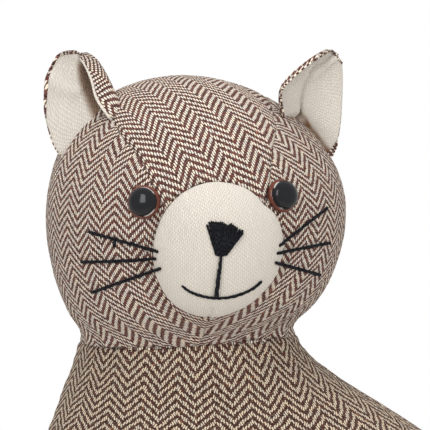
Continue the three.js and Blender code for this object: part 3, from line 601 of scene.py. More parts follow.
def cotton_material():
    """Unbleached plain-woven cotton: matt, its warp ribs plainer than its weft, with thick and thin yarns."""
    name = "Plain-woven ecru cotton"
    if name in bpy.data.materials:
        return bpy.data.materials[name]
    cloth = bpy.context.scene.cat_cloth
    material, tree, shader = new_material(name)
    uv = add(tree, "ShaderNodeUVMap", uv_map="weave").outputs[0]
    # Real yarns here are near 0.35 mm apart, drawn wider so that the weave shows.
    value = counted(tree, pulled_about(tree, uv, (((0.4, 2.0), 1.2),)), cloth.cotton_pitch)
    # Plain weave: the warp's ribs, and the weft over and under each end in turn.
    worked_out(tree, value, (
        ("end", "FLOOR", "s"),
        ("rib", "MULTIPLY", "s", 2 * math.pi), ("rib", "SINE", "rib"),
        ("over", "ADD", "end", "t"), ("over", "MULTIPLY", "over", math.pi), ("over", "SINE", "over"),
        ("weave", "MULTIPLY_ADD", "over", 0.25, 0.5), ("weave", "MULTIPLY_ADD", "rib", 0.25, "weave"),
    ))
    streak = add(tree, "ShaderNodeMapping", {"Vector": uv, "Scale": (1.6, 0.12, 1.0)})
    slub = add(tree, "ShaderNodeTexNoise", {"Vector": streak.outputs[0], "Scale": 1.0, "Detail": 3.0})
    speck = add(tree, "ShaderNodeTexNoise", {"Vector": uv, "Scale": 1.7, "Detail": 2.0})
    tone = add(tree, "ShaderNodeMapRange", {
        "Value": slub.outputs[0], "From Min": 0.3, "From Max": 0.7, "To Min": 0.93, "To Max": 1.0})
    husk = add(tree, "ShaderNodeMapRange", {
        "Value": speck.outputs[0], "From Min": 0.22, "From Max": 0.32, "To Min": 0.82, "To Max": 1.0})
    # Painted shade in the hollows of the weave, and a touch of painted light on its crests.
    depth = add(tree, "ShaderNodeMapRange", {"Value": value["weave"], "To Min": 0.7, "To Max": 1.02})
    worked_out(tree, value, (
        ("shade", "MULTIPLY", tone.outputs[0], depth.outputs[0]),
        ("shade", "MULTIPLY", "shade", husk.outputs[0]),
        ("relief", "MULTIPLY_ADD", slub.outputs[0], 0.5, "weave"),
    ))
    finish = mixed(tree, 1.0, tuple(cloth.ecru), value["shade"], data_type="RGBA", blend_type="MULTIPLY")
    # Painted shade: browner where the ears' linings lie in shade, behind the fold, along it and at the base.
    painted_shade = add(tree, "ShaderNodeAttribute", attribute_name="painted_shade")
    finish = mixed(
        tree, painted_shade.outputs["Fac"], finish, tuple(cloth.painted_shade_tint), data_type="RGBA", blend_type="MULTIPLY")
    surfaced(tree, shader, finish, value["relief"], 0.25, roughness=0.9, specular=0.2, sheen=0.08)
    return material


def thread_material():
    """Black cotton floss, loosely twisted: matt, with a faint light along the twist and painted grey
    highlights.
    """
    name = "Twisted black embroidery cotton"
    if name in bpy.data.materials:
        return bpy.data.materials[name]
    material, tree, shader = new_material(name)
    uv = add(tree, "ShaderNodeUVMap", uv_map="weave").outputs[0]
    twist = add(tree, "ShaderNodeMapping", {"Vector": uv, "Rotation": (0, 0, math.radians(32))})
    strands = add(tree, "ShaderNodeTexWave", {
        "Vector": twist.outputs[0], "Scale": 0.7, "Distortion": 2.0, "Detail": 2.0}, bands_direction="X")
    fibre = add(tree, "ShaderNodeTexNoise", {"Vector": uv, "Scale": 2.5, "Detail": 3.0})
    # Painted highlights: grey-blue patches laid at random over the black, standing in for the thread's sheen.
    painted_glints = add(tree, "ShaderNodeMapRange", {"Value": fibre.outputs[0], "From Min": 0.52, "From Max": 0.74})
    black = tuple(bpy.context.scene.cat_cloth.black)
    tone = mixed(tree, painted_glints.outputs[0], black, linear("52545F"), data_type="RGBA")
    surfaced(tree, shader, tone, strands.outputs[1], 0.2, roughness=0.8, specular=0.1, strength=0.9)
    return material


def darker(shade, share):
    """Linear RGBA brought down by a share."""
    return (*(c * (1 - share) for c in shade[:3]), 1.0)


def clouded(tree, scale, detail, deep, pale, span=(0.0, 1.0)):
    """Noise on the object's own coordinates, and the colour that wavers with it between two."""
    low, high = span
    place = add(tree, "ShaderNodeTexCoord").outputs["Object"]
    cloud = add(tree, "ShaderNodeTexNoise", {"Vector": place, "Scale": scale, "Detail": detail})
    share = add(tree, "ShaderNodeMapRange", {"Value": cloud.outputs[0], "From Min": low, "From Max": high})
    return cloud.outputs[0], mixed(tree, share.outputs[0], deep, pale, data_type="RGBA")


def plain_material(name, hex_colour, roughness, scale, relief_mm, variation=0.12):
    """Moulded or loose material with an uneven tone and surface."""
    material, tree, shader = new_material(name)
    base = linear(hex_colour)
    grain, tone = clouded(tree, scale, 4.0, darker(base, variation), base)
    surfaced(tree, shader, tone, grain, relief_mm, roughness, strength=0.5)
    return material


def fibre_material():
    """Loose white polyester fibre: soft and uneven."""
    name = "Carded polyester fibre"
    return bpy.data.materials.get(name) or plain_material(name, "F1EFEA", 1.0, 90, 1.0)


# Pieces.

GUSSET_LEAN = math.radians(19)  # of the weave on the gusset
GUSSET_CLOTH = 64  # radii over which the weave is laid out on the gusset and the sides of the head, in mm
SIDE_CLOTH = 74


class CAT_OT_sew_head(bpy.types.Operator):
    """Sew the forehead gusset and the two side panels of the head"""
    bl_idname = "cat.sew_head"
    bl_label = "Sew Head"

    def execute(self, context):
        gusset_across, side_across, along = 64, 110, 190

        def gusset_chart(d):
            return rotated(math.asin(d.x) * GUSSET_CLOTH, math.atan2(d.z, -d.y) * GUSSET_CLOTH, GUSSET_LEAN)

        def front(t):
            return muzzle_edge(math.pi - GUSSET_CORNER + t * (2 * GUSSET_CORNER - math.pi))

        def nape(t):
            return neck_edge(-DOWN + GUSSET_END * (1 - 2 * t))

        edges = {side: (lambda t, side=side: gusset_seam(side, t)) for side in (-1, 1)}
        borders = (front, nape, edges[-1], edges[1])
        grid = inside_seams(along, gusset_across, *borders)
        seams = [lambda t, s=s: head_point(s(t)) for s in borders]
        head_panel("forehead_gusset", grid, (along, gusset_across), seams, gusset_chart, Vector((0, 0, 1)))

        for name, side in (("head_side_left", -1), ("head_side_right", 1)):
            corner = GUSSET_CORNER if side > 0 else -math.pi - GUSSET_CORNER
            end = -DOWN - side * GUSSET_END - (2 * math.pi if side < 0 else 0)

            def side_chart(d, side=side):
                rise = math.asin(max(-1.0, min(1.0, d.z)))
                forward = math.atan2(-d.y, side * d.x)
                return SIDE_CLOTH * forward * math.cos(rise) * side, SIDE_CLOTH * rise

            low_chin, high_chin = neck_edge(DOWN), muzzle_edge(DOWN)
            borders = [
                lambda t: low_chin.lerp(high_chin, t).normalized(),
                lambda t: gusset_seam(side, 1 - t),
                lambda t: neck_edge(DOWN + t * (end - DOWN)),
                lambda t: muzzle_edge(DOWN + t * (corner - DOWN)),
            ]
            grid = inside_seams(side_across, along, *borders)
            seams = [lambda t, s=s: head_point(s(t)) for s in borders]
            head_panel(name, grid, (side_across, along), seams, side_chart, Vector((side, 0, 0)))
        return {"FINISHED"}


def on_disc(i, j, count):
    """Place on a disc of radius 1 of a station of a square grid."""
    a, b = 2 * i / count - 1, 2 * j / count - 1
    return a * math.sqrt(1 - b * b / 2), b * math.sqrt(1 - a * a / 2)


MUZZLE_STRETCH = 1.15  # of its flat disc of cloth over its reach
MUZZLE_LEAN = math.radians(4)
RIM_TURN = (1.2, 2.7)  # width and depth of the edge that is turned into the seam
DART = (-1, -25)  # place of the small tuck under the mouth


class CAT_OT_stuff_muzzle(bpy.types.Operator):
    """Stuff the round cotton muzzle and let it into the face"""
    bl_idname = "cat.stuff_muzzle"
    bl_label = "Stuff Muzzle"

    def execute(self, context):
        sewing = context.scene.cat_sewing
        count = 120

        def place(i, j):
            a, b = on_disc(i, j, count)
            angle = math.atan2(b, a)
            edge = muzzle_reach(angle, math.hypot(a, b))
            right, up = a * edge, b * edge
            inside = edge * (1 - math.hypot(a, b))
            rim = max(0.0, 1 - inside / RIM_TURN[0])
            pleat = noise.noise(Vector((math.cos(angle) * 7, math.sin(angle) * 7, 0.3)))
            pleat *= 0.6 * math.exp(-inside / 4)
            lump = noise.noise(Vector((right, up, 9)) / 12) * 0.35 * (1 - rim)
            dart = -0.8 * math.exp(-(right - DART[0]) ** 2 / 0.8 - ((up - DART[1]) / 4) ** 4)
            # Just inside the edge, where the muzzle still has its height.
            height = muzzle_height(right * 0.9999, up * 0.9999) + pleat + lump + dart - RIM_TURN[1] * rim ** 2
            return head_point(face_direction(right, up), height)

        def weave(i, j):
            right, up = on_disc(i, j, count)
            cloth_radius = MUZZLE_RADIUS * MUZZLE_STRETCH
            return rotated(right * cloth_radius, up * cloth_radius, MUZZLE_LEAN)

        bm = cloth_grid(count, count, place, weave)
        outward(bm, Vector((0, -1, 0)))
        piece = finished("muzzle_panel_cloth", bm, cotton_material(), ["muzzle_panel"])
        given_thickness(piece, sewing.cotton_thickness)
        return {"FINISHED"}


HEM = 1.6  # how far the top of the body is turned in under the head, in mm
HEM_RISE = 0.8  # of the turned edge for each mm that it is turned in
COLUMN_SQUEEZE = 1.1  # how much narrower the columns are drawn where the cloth measures COLUMN_ROUND across
COLUMN_ROUND = 150
COLUMN_AT = (-20.9, 8)  # place from chest to back of one column's edge, and how far across the cloth it lies


class CAT_OT_sew_body(bpy.types.Operator):
    """Sew the two sides of the body and its base"""
    bl_idname = "cat.sew_body"
    bl_label = "Sew Body"

    def execute(self, context):
        sewing = context.scene.cat_sewing
        across, along = 150, 120
        for name, side in (("body_side_near", -1), ("body_side_far", 1)):
            start = 0 if side > 0 else math.pi
            borders = [
                lambda t: body_point(start, 2 * t), lambda t: body_point(start + math.pi, 2 * t),
                lambda t: body_point(start + math.pi * t, 0), lambda t: body_point(start + math.pi * t, 2),
            ]
            finder = seam_finder(borders)
            plain = {(i, j): body_point(start + math.pi * i / across, 2 * (1 - j / along))
                     for i in range(across + 1) for j in range(along + 1)}
            rows = {}
            for j in range(along + 1):
                lengths = lengths_along([plain[i, j] for i in range(across + 1)])
                squeeze = COLUMN_SQUEEZE * (COLUMN_ROUND / lengths[-1]) ** 0.5
                under_chin = min(range(across + 1), key=lambda i: abs(plain[i, j].x - COLUMN_AT[0]))
                rows[j] = [(length - lengths[under_chin]) * squeeze + COLUMN_AT[1] for length in lengths]
            heights = lengths_along([plain[across // 2, j] for j in range(along + 1)])

            def place(i, j):
                hem = HEM if j == along else 0
                raised = drawn_in(plain[i, j], finder, sewing) - hem
                p = body_point(start + math.pi * i / across, 2 * (1 - j / along), raised)
                return with_neck_raised(p + Vector((0, 0, HEM_RISE * hem)))

            bm = cloth_grid(across, along, place, lambda i, j: (rows[j][i], heights[j]))
            outward(bm, Vector((0, side, 0)))
            piece = finished(f"{name}_cloth", bm, tweed_material(True), [name])
            given_thickness(piece, sewing.tweed_thickness)

        count = 40

        def base_place(i, j):
            x, y = on_disc(i, j, count)
            return Vector((BASE_MIDDLE + x * BASE_HALF[0], y * BASE_HALF[1], 0))

        bm = cloth_grid(count, count, base_place, lambda i, j: tuple(base_place(i, j).xy))
        outward(bm, Vector((0, 0, -1)))
        piece = finished("base_panel_cloth", bm, tweed_material(True), ["base_panel"])
        given_thickness(piece, BASE_THICKNESS)
        return {"FINISHED"}


def tube(stations, rings, place, weave):
    """Tube grown from a circle ring by ring, its rings moved along a route, each end drawn to a point."""
    bm = bmesh.new()
    layer = bm.loops.layers.uv.new("weave")
    ring = bmesh.ops.create_circle(bm, cap_ends=False, segments=rings, radius=1)["verts"]
    current = list({e for v in ring for e in v.link_edges})
    order = sorted(ring, key=lambda v: math.atan2(v.co.y, v.co.x) % (2 * math.pi))
    station = {v: (n, 0) for n, v in enumerate(order)}
    for j in range(1, stations + 1):
        grown = bmesh.ops.extrude_edge_only(bm, edges=current)["geom"]
        fresh = [g for g in grown if isinstance(g, bmesh.types.BMVert)]
        for v in fresh:
            v.co.z += 1
            below = min((e.other_vert(v) for e in v.link_edges if e.other_vert(v) in station
                         and station[e.other_vert(v)][1] == j - 1), key=lambda w: (w.co - v.co).length)
            station[v] = (station[below][0], j)
        current = [g for g in grown if isinstance(g, bmesh.types.BMEdge)]
    for face in bm.faces:
        wraps = {station[loop.vert][0] for loop in face.loops} == {0, rings - 1}
        for loop in face.loops:
            n, j = station[loop.vert]
            loop[layer].uv = weave(rings if wraps and n == 0 else n, j)
    for v, (n, j) in station.items():
        v.co = place(n, j) * MM
    for end in (0, stations):
        ring = [v for v, (n, j) in station.items() if j == end]
        middle = sum((v.co for v in ring), Vector()) / len(ring)
        bmesh.ops.pointmerge(bm, verts=ring, merge_co=middle)
    bmesh.ops.recalc_face_normals(bm, faces=bm.faces[:])
    return bm


def framed(points, index):
    """Side and upper directions of a route at one of its points."""
    forward = (points[min(index + 1, len(points) - 1)] - points[max(index - 1, 0)]).normalized()
    side = Vector((0, 0, 1)).cross(forward)
    if side.length < 1e-3:
        side = Vector((0, 1, 0)).cross(forward)
    side.normalize()
    return side, forward.cross(side)


TAIL_DOWN = 1.3  # how far down the body the tail lies, where 2 is the base
TAIL_HEIGHT = TAIL_RADIUS + 0.8  # of its middle over the floor
TAIL_ROOT = (0.08, 9)  # angle at which it leaves the body, and how much higher it starts, in mm
TAIL_BESIDE = ((-0.28, -2), (-0.6, 0.6), (-0.95, 1), (-1.3, 1), (-1.7, 1))  # angles round the body, and gaps
TAIL_CLOTH = 11  # radius over which its weave is laid out
TAIL_SEAM = 4.2  # angle round the tail of its seam, on the side that lies on the floor


class CAT_OT_stuff_tail(bpy.types.Operator):
    """Stuff the tail and lay it round the near side"""
    bl_idname = "cat.stuff_tail"
    bl_label = "Stuff Tail"

    def execute(self, context):
        def beside(angle, gap):
            p = body_point(angle, TAIL_DOWN, TAIL_RADIUS + gap)
            return Vector((p.x, p.y, TAIL_HEIGHT))

        root = body_point(TAIL_ROOT[0], TAIL_DOWN, -TAIL_RADIUS)
        guides = [Vector((root.x, root.y, TAIL_HEIGHT + TAIL_ROOT[1]))] + [beside(*g) for g in TAIL_BESIDE]
        stations, around = 150, 48
        route = [spline(guides, 0.05 + 0.92 * j / stations) for j in range(stations + 1)]
        lengths = lengths_along(route)

        def radius(j):
            share = lengths[j] / lengths[-1]
            left = lengths[-1] - lengths[j]
            round_tip = math.sqrt(max(0.0, 1 - (1 - min(left / TAIL_TIP, 1)) ** 2))
            lump = 1 + 0.03 * noise.noise(Vector((lengths[j] / 14, 2, 7)))
            return (TAIL_RADIUS + (TAIL_TIP - TAIL_RADIUS) * share) * max(round_tip, 0.03) * lump

        def place(n, j):
            side, over = framed(route, j)
            angle = 2 * math.pi * n / around
            seam = 1 - 0.07 * math.exp(-((angle - TAIL_SEAM) / 0.1) ** 2)
            return route[j] + (side * math.cos(angle) + over * math.sin(angle)) * radius(j) * seam

        def inside(n, j):
            # Under the cloth, and drawn together a little along the route so that its ends stay inside too.
            middle = route[j].lerp(route[stations // 2], 0.012)
            return middle + (place(n, j) - route[j]) * 0.86

        def chart(n, j):
            return n / around * 2 * math.pi * TAIL_CLOTH, lengths[j]

        bm = tube(stations, around, place, chart)
        finished("tail_cover_cloth", bm, tweed_material(True), ["tail_cover"])
        bm = tube(stations, around, inside, chart)
        finished("tail_fibre", bm, fibre_material(), ["tail_stuffing"])
        return {"FINISHED"}


# Ears as guide curves from base to tip: the outer edge, the line where the inner part turns forward, and the
# free edge. "arrives" is the way the cloth runs at the free edge, across and forward, and "handle" how far
# that holds. "flat_share" is the share of the width before the fold. "cup", "groove" and "pocket" are how
# deep the flat part, the fold's line and the room behind the fold are, in mm. "crease" is a ridge across the
# cloth. "bound" is how far the tweed comes round the outer, upper and free edge onto the cotton, in mm. Under
# 0 the cotton comes round it. "bound_from" is its share at the base and at the tip of the outer edge, and
# where the change begins. The last entry is how strong the shade painted on the cotton is behind the fold,
# along it and at the base.
EARS = {
    "left": {
        "outer": (
            (-78.8, -23, 249.1), (-83.7, -20, 255.9), (-87.3, -16, 269.8), (-85.8, -12, 285.6),
            (-80.7, -10, 296.6)),
        "fold": (
            (-56.5, -33, 269.7), (-60.7, -24, 280.8), (-64.2, -19, 287.6), (-67, -15, 292.8),
            (-70.4, -12, 296.2)),
        "rim": (
            (-58.2, -35.5, 268.6), (-63.8, -28.5, 276.3), (-66.2, -23.5, 283.9), (-69.4, -18.5, 290.5),
            (-73, -15, 294.7)),
        "arrives": (-1.0, 0.0), "handle": 0.36, "flat_share": 0.62, "cup": 2.0, "groove": 0.0, "pocket": 9.0,
        "crease": ((0.07, 0.71), (0.38, 0.45)), "bound": (0.9, 1.6, -0.5),
        "bound_from": (0.0, 1.0, 0.42), "painted_shades": (0.85, 0.0, 0.35),
    },
    "right": {
        "outer": (
            (40.2, -7, 249.7), (42.9, -7, 256.4), (44.7, -6, 269.3), (45.2, -6, 283.6), (44.7, -6, 292.6)),
        "fold": (
            (25.9, -13, 269), (26.5, -15, 275.9), (28.5, -14, 283.5), (32.8, -11, 291.2), (39.6, -8, 297.4)),
        "rim": (
            (17.4, -25, 268.3), (16.1, -28, 276), (16.9, -28, 281.2), (20.6, -25.5, 285.5),
            (28.3, -20, 291.7), (35.2, -15, 295.8)),
        "arrives": (0.45, 0.9), "handle": 0.3, "flat_share": 0.56, "cup": 3.2, "groove": 2.4, "pocket": 0.0,
        "crease": ((0.25, 0.95), (0.5, 0.62)), "bound": (1.3, 0.9, 1.7),
        "bound_from": (1.0, 0.0, 0.06), "painted_shades": (0.0, 0.3, 0.85),
    },
}
EAR_WIDTH = 42  # of the cloth, in mm
EAR_HEIGHT = 48
EAR_SUNK = 0.16  # share of the height that is in the head
EAR_LEAN = math.radians(20)  # of the weave
EAR_LAYER = 0.85  # from the ear's middle surface to the outside of either layer, in mm
EAR_TWEED = 0.8  # thickness of its cloths, in mm
EAR_COTTON = 0.6


def ear_surface(ear, u, v):
    """Middle surface of an ear: u from the outer to the free edge, v from base to tip, sunk under 0."""
    sunk = max(0.0, -v)
    v = max(0.0, v) * (1 - 0.06 * abs(2 * u - 1) ** 6)
    outer, fold, rim = (spline([Vector(p) for p in ear[key]], v) for key in ("outer", "fold", "rim"))
    across = (fold - outer).normalized()
    forward = Vector((0, -1, 0))
    forward = (forward - across * forward.dot(across)).normalized()
    share = ear["flat_share"]
    flat = min(u / share, 1)
    cup = ear["cup"] * (1 - 0.5 * v)
    groove = ear["groove"] * (1 - v) * math.exp(-((u - share) / 0.055) ** 2)
    pocket = forward * ear["pocket"] * (1 - v * v)
    fold -= pocket
    dive = share_between(flat, 0.66, 0.9)
    p = outer.lerp(fold, flat) - forward * cup * math.sin(math.pi * flat ** 1.5)
    p += pocket * (flat - dive * dive * (3 - 2 * dive))
    if u > share:
        handle = ear["handle"] * (rim - fold).length
        leaving = ((fold - outer) + forward * cup * math.pi * 1.5).normalized()
        arriving = across * ear["arrives"][0] + forward * ear["arrives"][1]
        p = bezier((fold, fold + leaving * handle, rim - arriving * handle, rim), (u - share) / (1 - share))
    start, end = (Vector(place) for place in ear["crease"])
    run = end - start
    along = share_between((Vector((u, v)) - start).dot(run), 0, run.length_squared)
    miss = (Vector((u, v)) - start - along * run).length
    p += forward * (1.1 * math.exp(-(miss / 0.05) ** 2) + 0.9 * noise.noise(p / 11) - groove)
    return p + (HEAD_CENTRE - p).normalized() * sunk * EAR_HEIGHT


def ear_layer(name, key, side, thickness, material):
    """One layer of an ear, front with side 1 and back with -1, folded round the edges that it binds."""
    ear = EARS[key]
    inward = 1 if key == "left" else -1
    across, along = 120, 90
    outer, top, free = ear["bound"]

    def bound_at(v):
        low, high, start = ear["bound_from"]
        return outer * (low + (high - low) * share_between(v, start, start + 0.25)), top, free

    def on_ear(i, j):
        v = (1 + EAR_SUNK - max(0.0, top * side) / EAR_HEIGHT) * j / along - EAR_SUNK
        short = [max(0.0, bound * side) for bound in bound_at(v)]
        return (short[0] + (EAR_WIDTH - short[0] - short[2]) * i / across) / EAR_WIDTH, v

    def place(i, j):
        u, v = on_ear(i, j)
        short = [max(0.0, bound * side) for bound in bound_at(v)]
        over = [max(0.0, -bound * side) for bound in bound_at(v)]
        step = 0.01
        right = ear_surface(ear, min(u + step, 1), v) - ear_surface(ear, max(u - step, 0), v)
        upward = ear_surface(ear, u, min(v + step, 1)) - ear_surface(ear, u, v - step)
        normal = right.cross(upward).normalized() * inward * side
        insides = (u * EAR_WIDTH - short[0], (1 - v) * EAR_HEIGHT - short[1], (1 - u) * EAR_WIDTH - short[2])
        ways = (-right.normalized(), upward.normalized(), right.normalized())
        p = ear_surface(ear, u, v) + normal * EAR_LAYER
        turned_in = 0.0
        for edge, (inside, reach, way) in enumerate(zip(insides, over, ways)):
            if reach:
                amount = min(1, reach / 0.5) / (1 + (inside / reach) ** 6)
                if edge == 1 and not over[0]:
                    amount *= min(1, insides[0] / 5)
                p += way * 0.35 * amount
                turned_in = max(turned_in, 1.6 * amount)
            else:
                turned_in = max(turned_in, 0.8 * math.exp(-(inside / 0.6) ** 2))
        return p - normal * turned_in

    def weave(i, j):
        return rotated(i / across * EAR_WIDTH, j / along * EAR_HEIGHT * (1 + EAR_SUNK), -EAR_LEAN * inward)

    # Painted shade on the lining: in the hollow behind the fold, along the fold and along the base against the
    # head.
    def painted_shade(i, j):
        u, v = on_ear(i, j)
        behind, along_fold, foot = ear["painted_shades"]
        share = ear["flat_share"]
        uneven = 1 + 0.6 * noise.noise(Vector((u * 9, v * 9, 3)))
        hollow = share_between(u / share, 0.64, 0.71) * (u < share + 0.02) * share_between(v, 0.86, 0.7)
        fold = math.exp(-((u - share) / 0.05) ** 2) * max(0, 1 - v)
        seam = math.exp(-(max(v, 0) / 0.07) ** 2) * (u < share + 0.04)
        return min(1, max(behind * hollow, along_fold * fold, foot * seam * uneven))

    bm = cloth_grid(across, along, place, weave, painted_shade)
    outward(bm, Vector((0, -side, 0)))
    return given_thickness(finished(f"{name}_cloth", bm, material, [name]), thickness)


class CAT_OT_sew_ears(bpy.types.Operator):
    """Sew the two ears, tweed behind and cotton in front"""
    bl_idname = "cat.sew_ears"
    bl_label = "Sew Ears"

    def execute(self, context):
        for key in EARS:
            ear_layer(f"{key}_ear_back", key, -1, EAR_TWEED, tweed_material())
            ear_layer(f"{key}_ear_lining", key, 1, EAR_COTTON, cotton_material())
        return {"FINISHED"}


def turned(profile, steps=72):
    """Closed body turned from a half profile of (radius, height) in mm."""
    bm = bmesh.new()
    verts = [bm.verts.new((r * MM, 0, h * MM)) for r, h in profile]
    edges = [bm.edges.new(pair) for pair in zip(verts, verts[1:])]
    if profile[0][0] or profile[-1][0]:
        edges.append(bm.edges.new((verts[-1], verts[0])))
    bmesh.ops.spin(
        bm, geom=verts + edges, cent=(0, 0, 0), axis=(0, 0, 1), angle=2 * math.pi, steps=steps,
        use_merge=True)
    bmesh.ops.remove_doubles(bm, verts=bm.verts[:], dist=1e-6)
    bmesh.ops.recalc_face_normals(bm, faces=bm.faces[:])
    return bm


def dome_arc(radius, height, floor, fullness, steps=20):
    """Half profile of a dome from its rim to its top. Fullness under 1 makes it rounder than a ball."""
    angles = [math.pi / 2 * i / steps for i in range(steps + 1)]
    rise = [(max(math.cos(a), 0) ** fullness, math.sin(a)) for a in angles]
    return [(radius * (c if i < steps else 0), floor + height * h) for i, (c, h) in enumerate(rise)]


def at_eye(bm, side):
    """Set a turned body on the cloth where the eye is, facing out."""
    seat = face_point(side * EYE_RIGHT, EYE_UP)
    across = face_point(side * EYE_RIGHT + 1, EYE_UP) - face_point(side * EYE_RIGHT - 1, EYE_UP)
    upward = face_point(side * EYE_RIGHT, EYE_UP + 1) - face_point(side * EYE_RIGHT, EYE_UP - 1)
    turn = across.cross(upward).to_track_quat("Z", "Y").to_matrix().to_4x4()
    bmesh.ops.transform(bm, matrix=Matrix.Translation(seat * MM) @ turn, verts=bm.verts[:])
    bm.loops.layers.uv.new("weave")
    return bm


# Profile of an eye, in mm over the cloth.
EYE_FOOT = ((0.5, 0.0), (0.0, 0.5), (0.0, 1.2), (0.2, 1.75), (0.55, 2.1))  # inset from its radius, and height
EYE_STEP = (0.45, 2.3)  # reach past the pupil, and height, where the foot ends
EYE_DOME = (0.35, 2.6)  # and where the dome begins
PUPIL_FOOT = (0.3, 2.2)  # heights of the pupil's back and of its dome's foot
SHANK = (2.2, -11.7)  # radius and end
DOME_FULLNESS = 0.8
AMBER_TO = 2.45  # height up to which the clear piece is brown
PAINTED_REFLECTION_TO = 3.5  # and then pale, a painted reflection


def eye_materials(eye):
    """Black clear dome, brown rim, pale edge of painted reflection and black pupil."""
    # Polished acrylic, a sharp gloss: cast onto its black pupil it looks black, and its thin rim is brown. At
    # its foot, patches of pale colour are a painted reflection, standing in for the pale crescents of light
    # there.
    kinds = (
        ("Polished clear acrylic on black", 0.12, (260.0, 2.0, linear("0B0C0F"), linear("16171B"))),
        ("Polished brown acrylic", 0.12, (420.0, 2.0, darker(eye.amber, 0.6), tuple(eye.amber))),
        ("Polished clear acrylic, painted reflection", 0.1, (190.0, 1.0, linear("17161A"), linear("B9B4B2"), (0.5, 0.6))),
    )
    plastics = []
    for name, roughness, look in kinds:
        plastic, tree, shader = new_material(name)
        tree.links.new(clouded(tree, *look)[1], shader.inputs["Base Color"])
        shader.inputs["Roughness"].default_value = roughness
        shader.inputs["IOR"].default_value = 1.49
        shader.inputs["Specular IOR Level"].default_value = 0.24
        plastics.append(plastic)
    # Moulded polystyrene, black: no gloss of its own, because it lies against the clear dome.
    black, tree, shader = new_material("Black moulded polystyrene")
    haze = clouded(tree, 500.0, 3.0, linear("060607"), linear("141417"))[1]
    tree.links.new(haze, shader.inputs["Base Color"])
    shader.inputs["Roughness"].default_value = 0.5
    shader.inputs["Specular IOR Level"].default_value = 0.1
    return *plastics, black


class CAT_OT_fit_eyes(bpy.types.Operator):
    """Fit the toy eyes: black pupil under a polished dome with a brown rim"""
    bl_idname = "cat.fit_eyes"
    bl_label = "Fit Eyes"

    def execute(self, context):
        eye = context.scene.cat_eyes
        clear, amber, edge, black = eye_materials(eye)
        for name, side in (("left", -1), ("right", 1)):
            # The dome is cast round its pupil, so no air shows between them.
            profile = [(0.0, 0.0)] + [(eye.radius - inset, height) for inset, height in EYE_FOOT]
            profile.append((eye.pupil_radius + EYE_STEP[0], EYE_STEP[1]))
            over, floor = EYE_DOME
            profile += dome_arc(eye.pupil_radius + over, eye.height - floor, floor, DOME_FULLNESS)
            bm = turned(profile)
            # Brown at the foot, then a band painted pale as a painted reflection, then clear on black.
            for face in bm.faces:
                height = face.calc_center_median().z / MM
                face.material_index = 1 if height < AMBER_TO else 2 if height < PAINTED_REFLECTION_TO else 0
            bm = at_eye(bm, side)
            piece = finished(f"{name}_eye_dome_clear", bm, clear, [f"{name}_eye_dome"])
            piece.data.materials.append(amber)
            piece.data.materials.append(edge)
            back, floor = PUPIL_FOOT
            profile = [(0, SHANK[1]), SHANK, (SHANK[0], back), (eye.pupil_radius, back)]
            profile += dome_arc(eye.pupil_radius, eye.pupil_height - floor, floor, DOME_FULLNESS)
            bm = at_eye(turned(profile), side)
            finished(f"{name}_eye_pupil_black", bm, black, [f"{name}_eye_pupil"])
        return {"FINISHED"}


# How far inside the muzzle's edge a thread starts to be held up, how high, and over what reach it sinks again.
HELD_UP = (0.6, 1.2, 5)


def over_rim(right, up):
    """Height at which a thread crosses from the cheek to the muzzle, held up by the muzzle's edge."""
    inside, rise, fall = HELD_UP
    outside = math.hypot(right, up) - muzzle_reach(math.atan2(up, right)) + inside
    if outside < 0:
        return muzzle_height(right, up)
    return (MUZZLE_RIM + rise) * math.exp(-outside / fall)


def thread_route(places, steps, radius, sink=0.25):
    """Points of a thread laid on the face through places right and up from the middle of the muzzle."""
    route = []
    guides = [Vector((right, up, 0)) for right, up in places]
    for i in range(steps + 1):
        p = spline(guides, i / steps)
        route.append(head_point(face_direction(p.x, p.y), over_rim(p.x, p.y) + radius - sink))
    return route


def floss(route, radius, around=18, widths=(1.0, 1.0)):
    """One thread of three twisted strands with drawn-in ends, from one width to another."""
    count = len(route) - 1
    length = lengths_along(route)[-1]

    def place(n, j):
        side, over = framed(route, j)
        angle = 2 * math.pi * n / around
        near_end = min(j, count - j) / count * length
        taper = min(1, 0.35 + near_end / 1.2)
        uneven = 1 + 0.2 * noise.noise(Vector((j * length / count / 1.6, radius, route[0].z)))
        uneven *= widths[0] + (widths[1] - widths[0]) * j / count
        strands = 1 + 0.14 * math.cos(3 * angle - j * length / count / radius * 1.5)
        out = side * math.cos(angle) + over * math.sin(angle)
        return route[j] + out * radius * taper * uneven * strands

    return tube(count, around, place, lambda n, j: (n / around * 2 * math.pi * radius, j * length / count))


def joined(bm, other):
    """Put the second mesh into the first."""
    mesh = bpy.data.meshes.new("part")
    other.to_mesh(mesh)
    other.free()
    bm.from_mesh(mesh)
    bpy.data.meshes.remove(mesh)


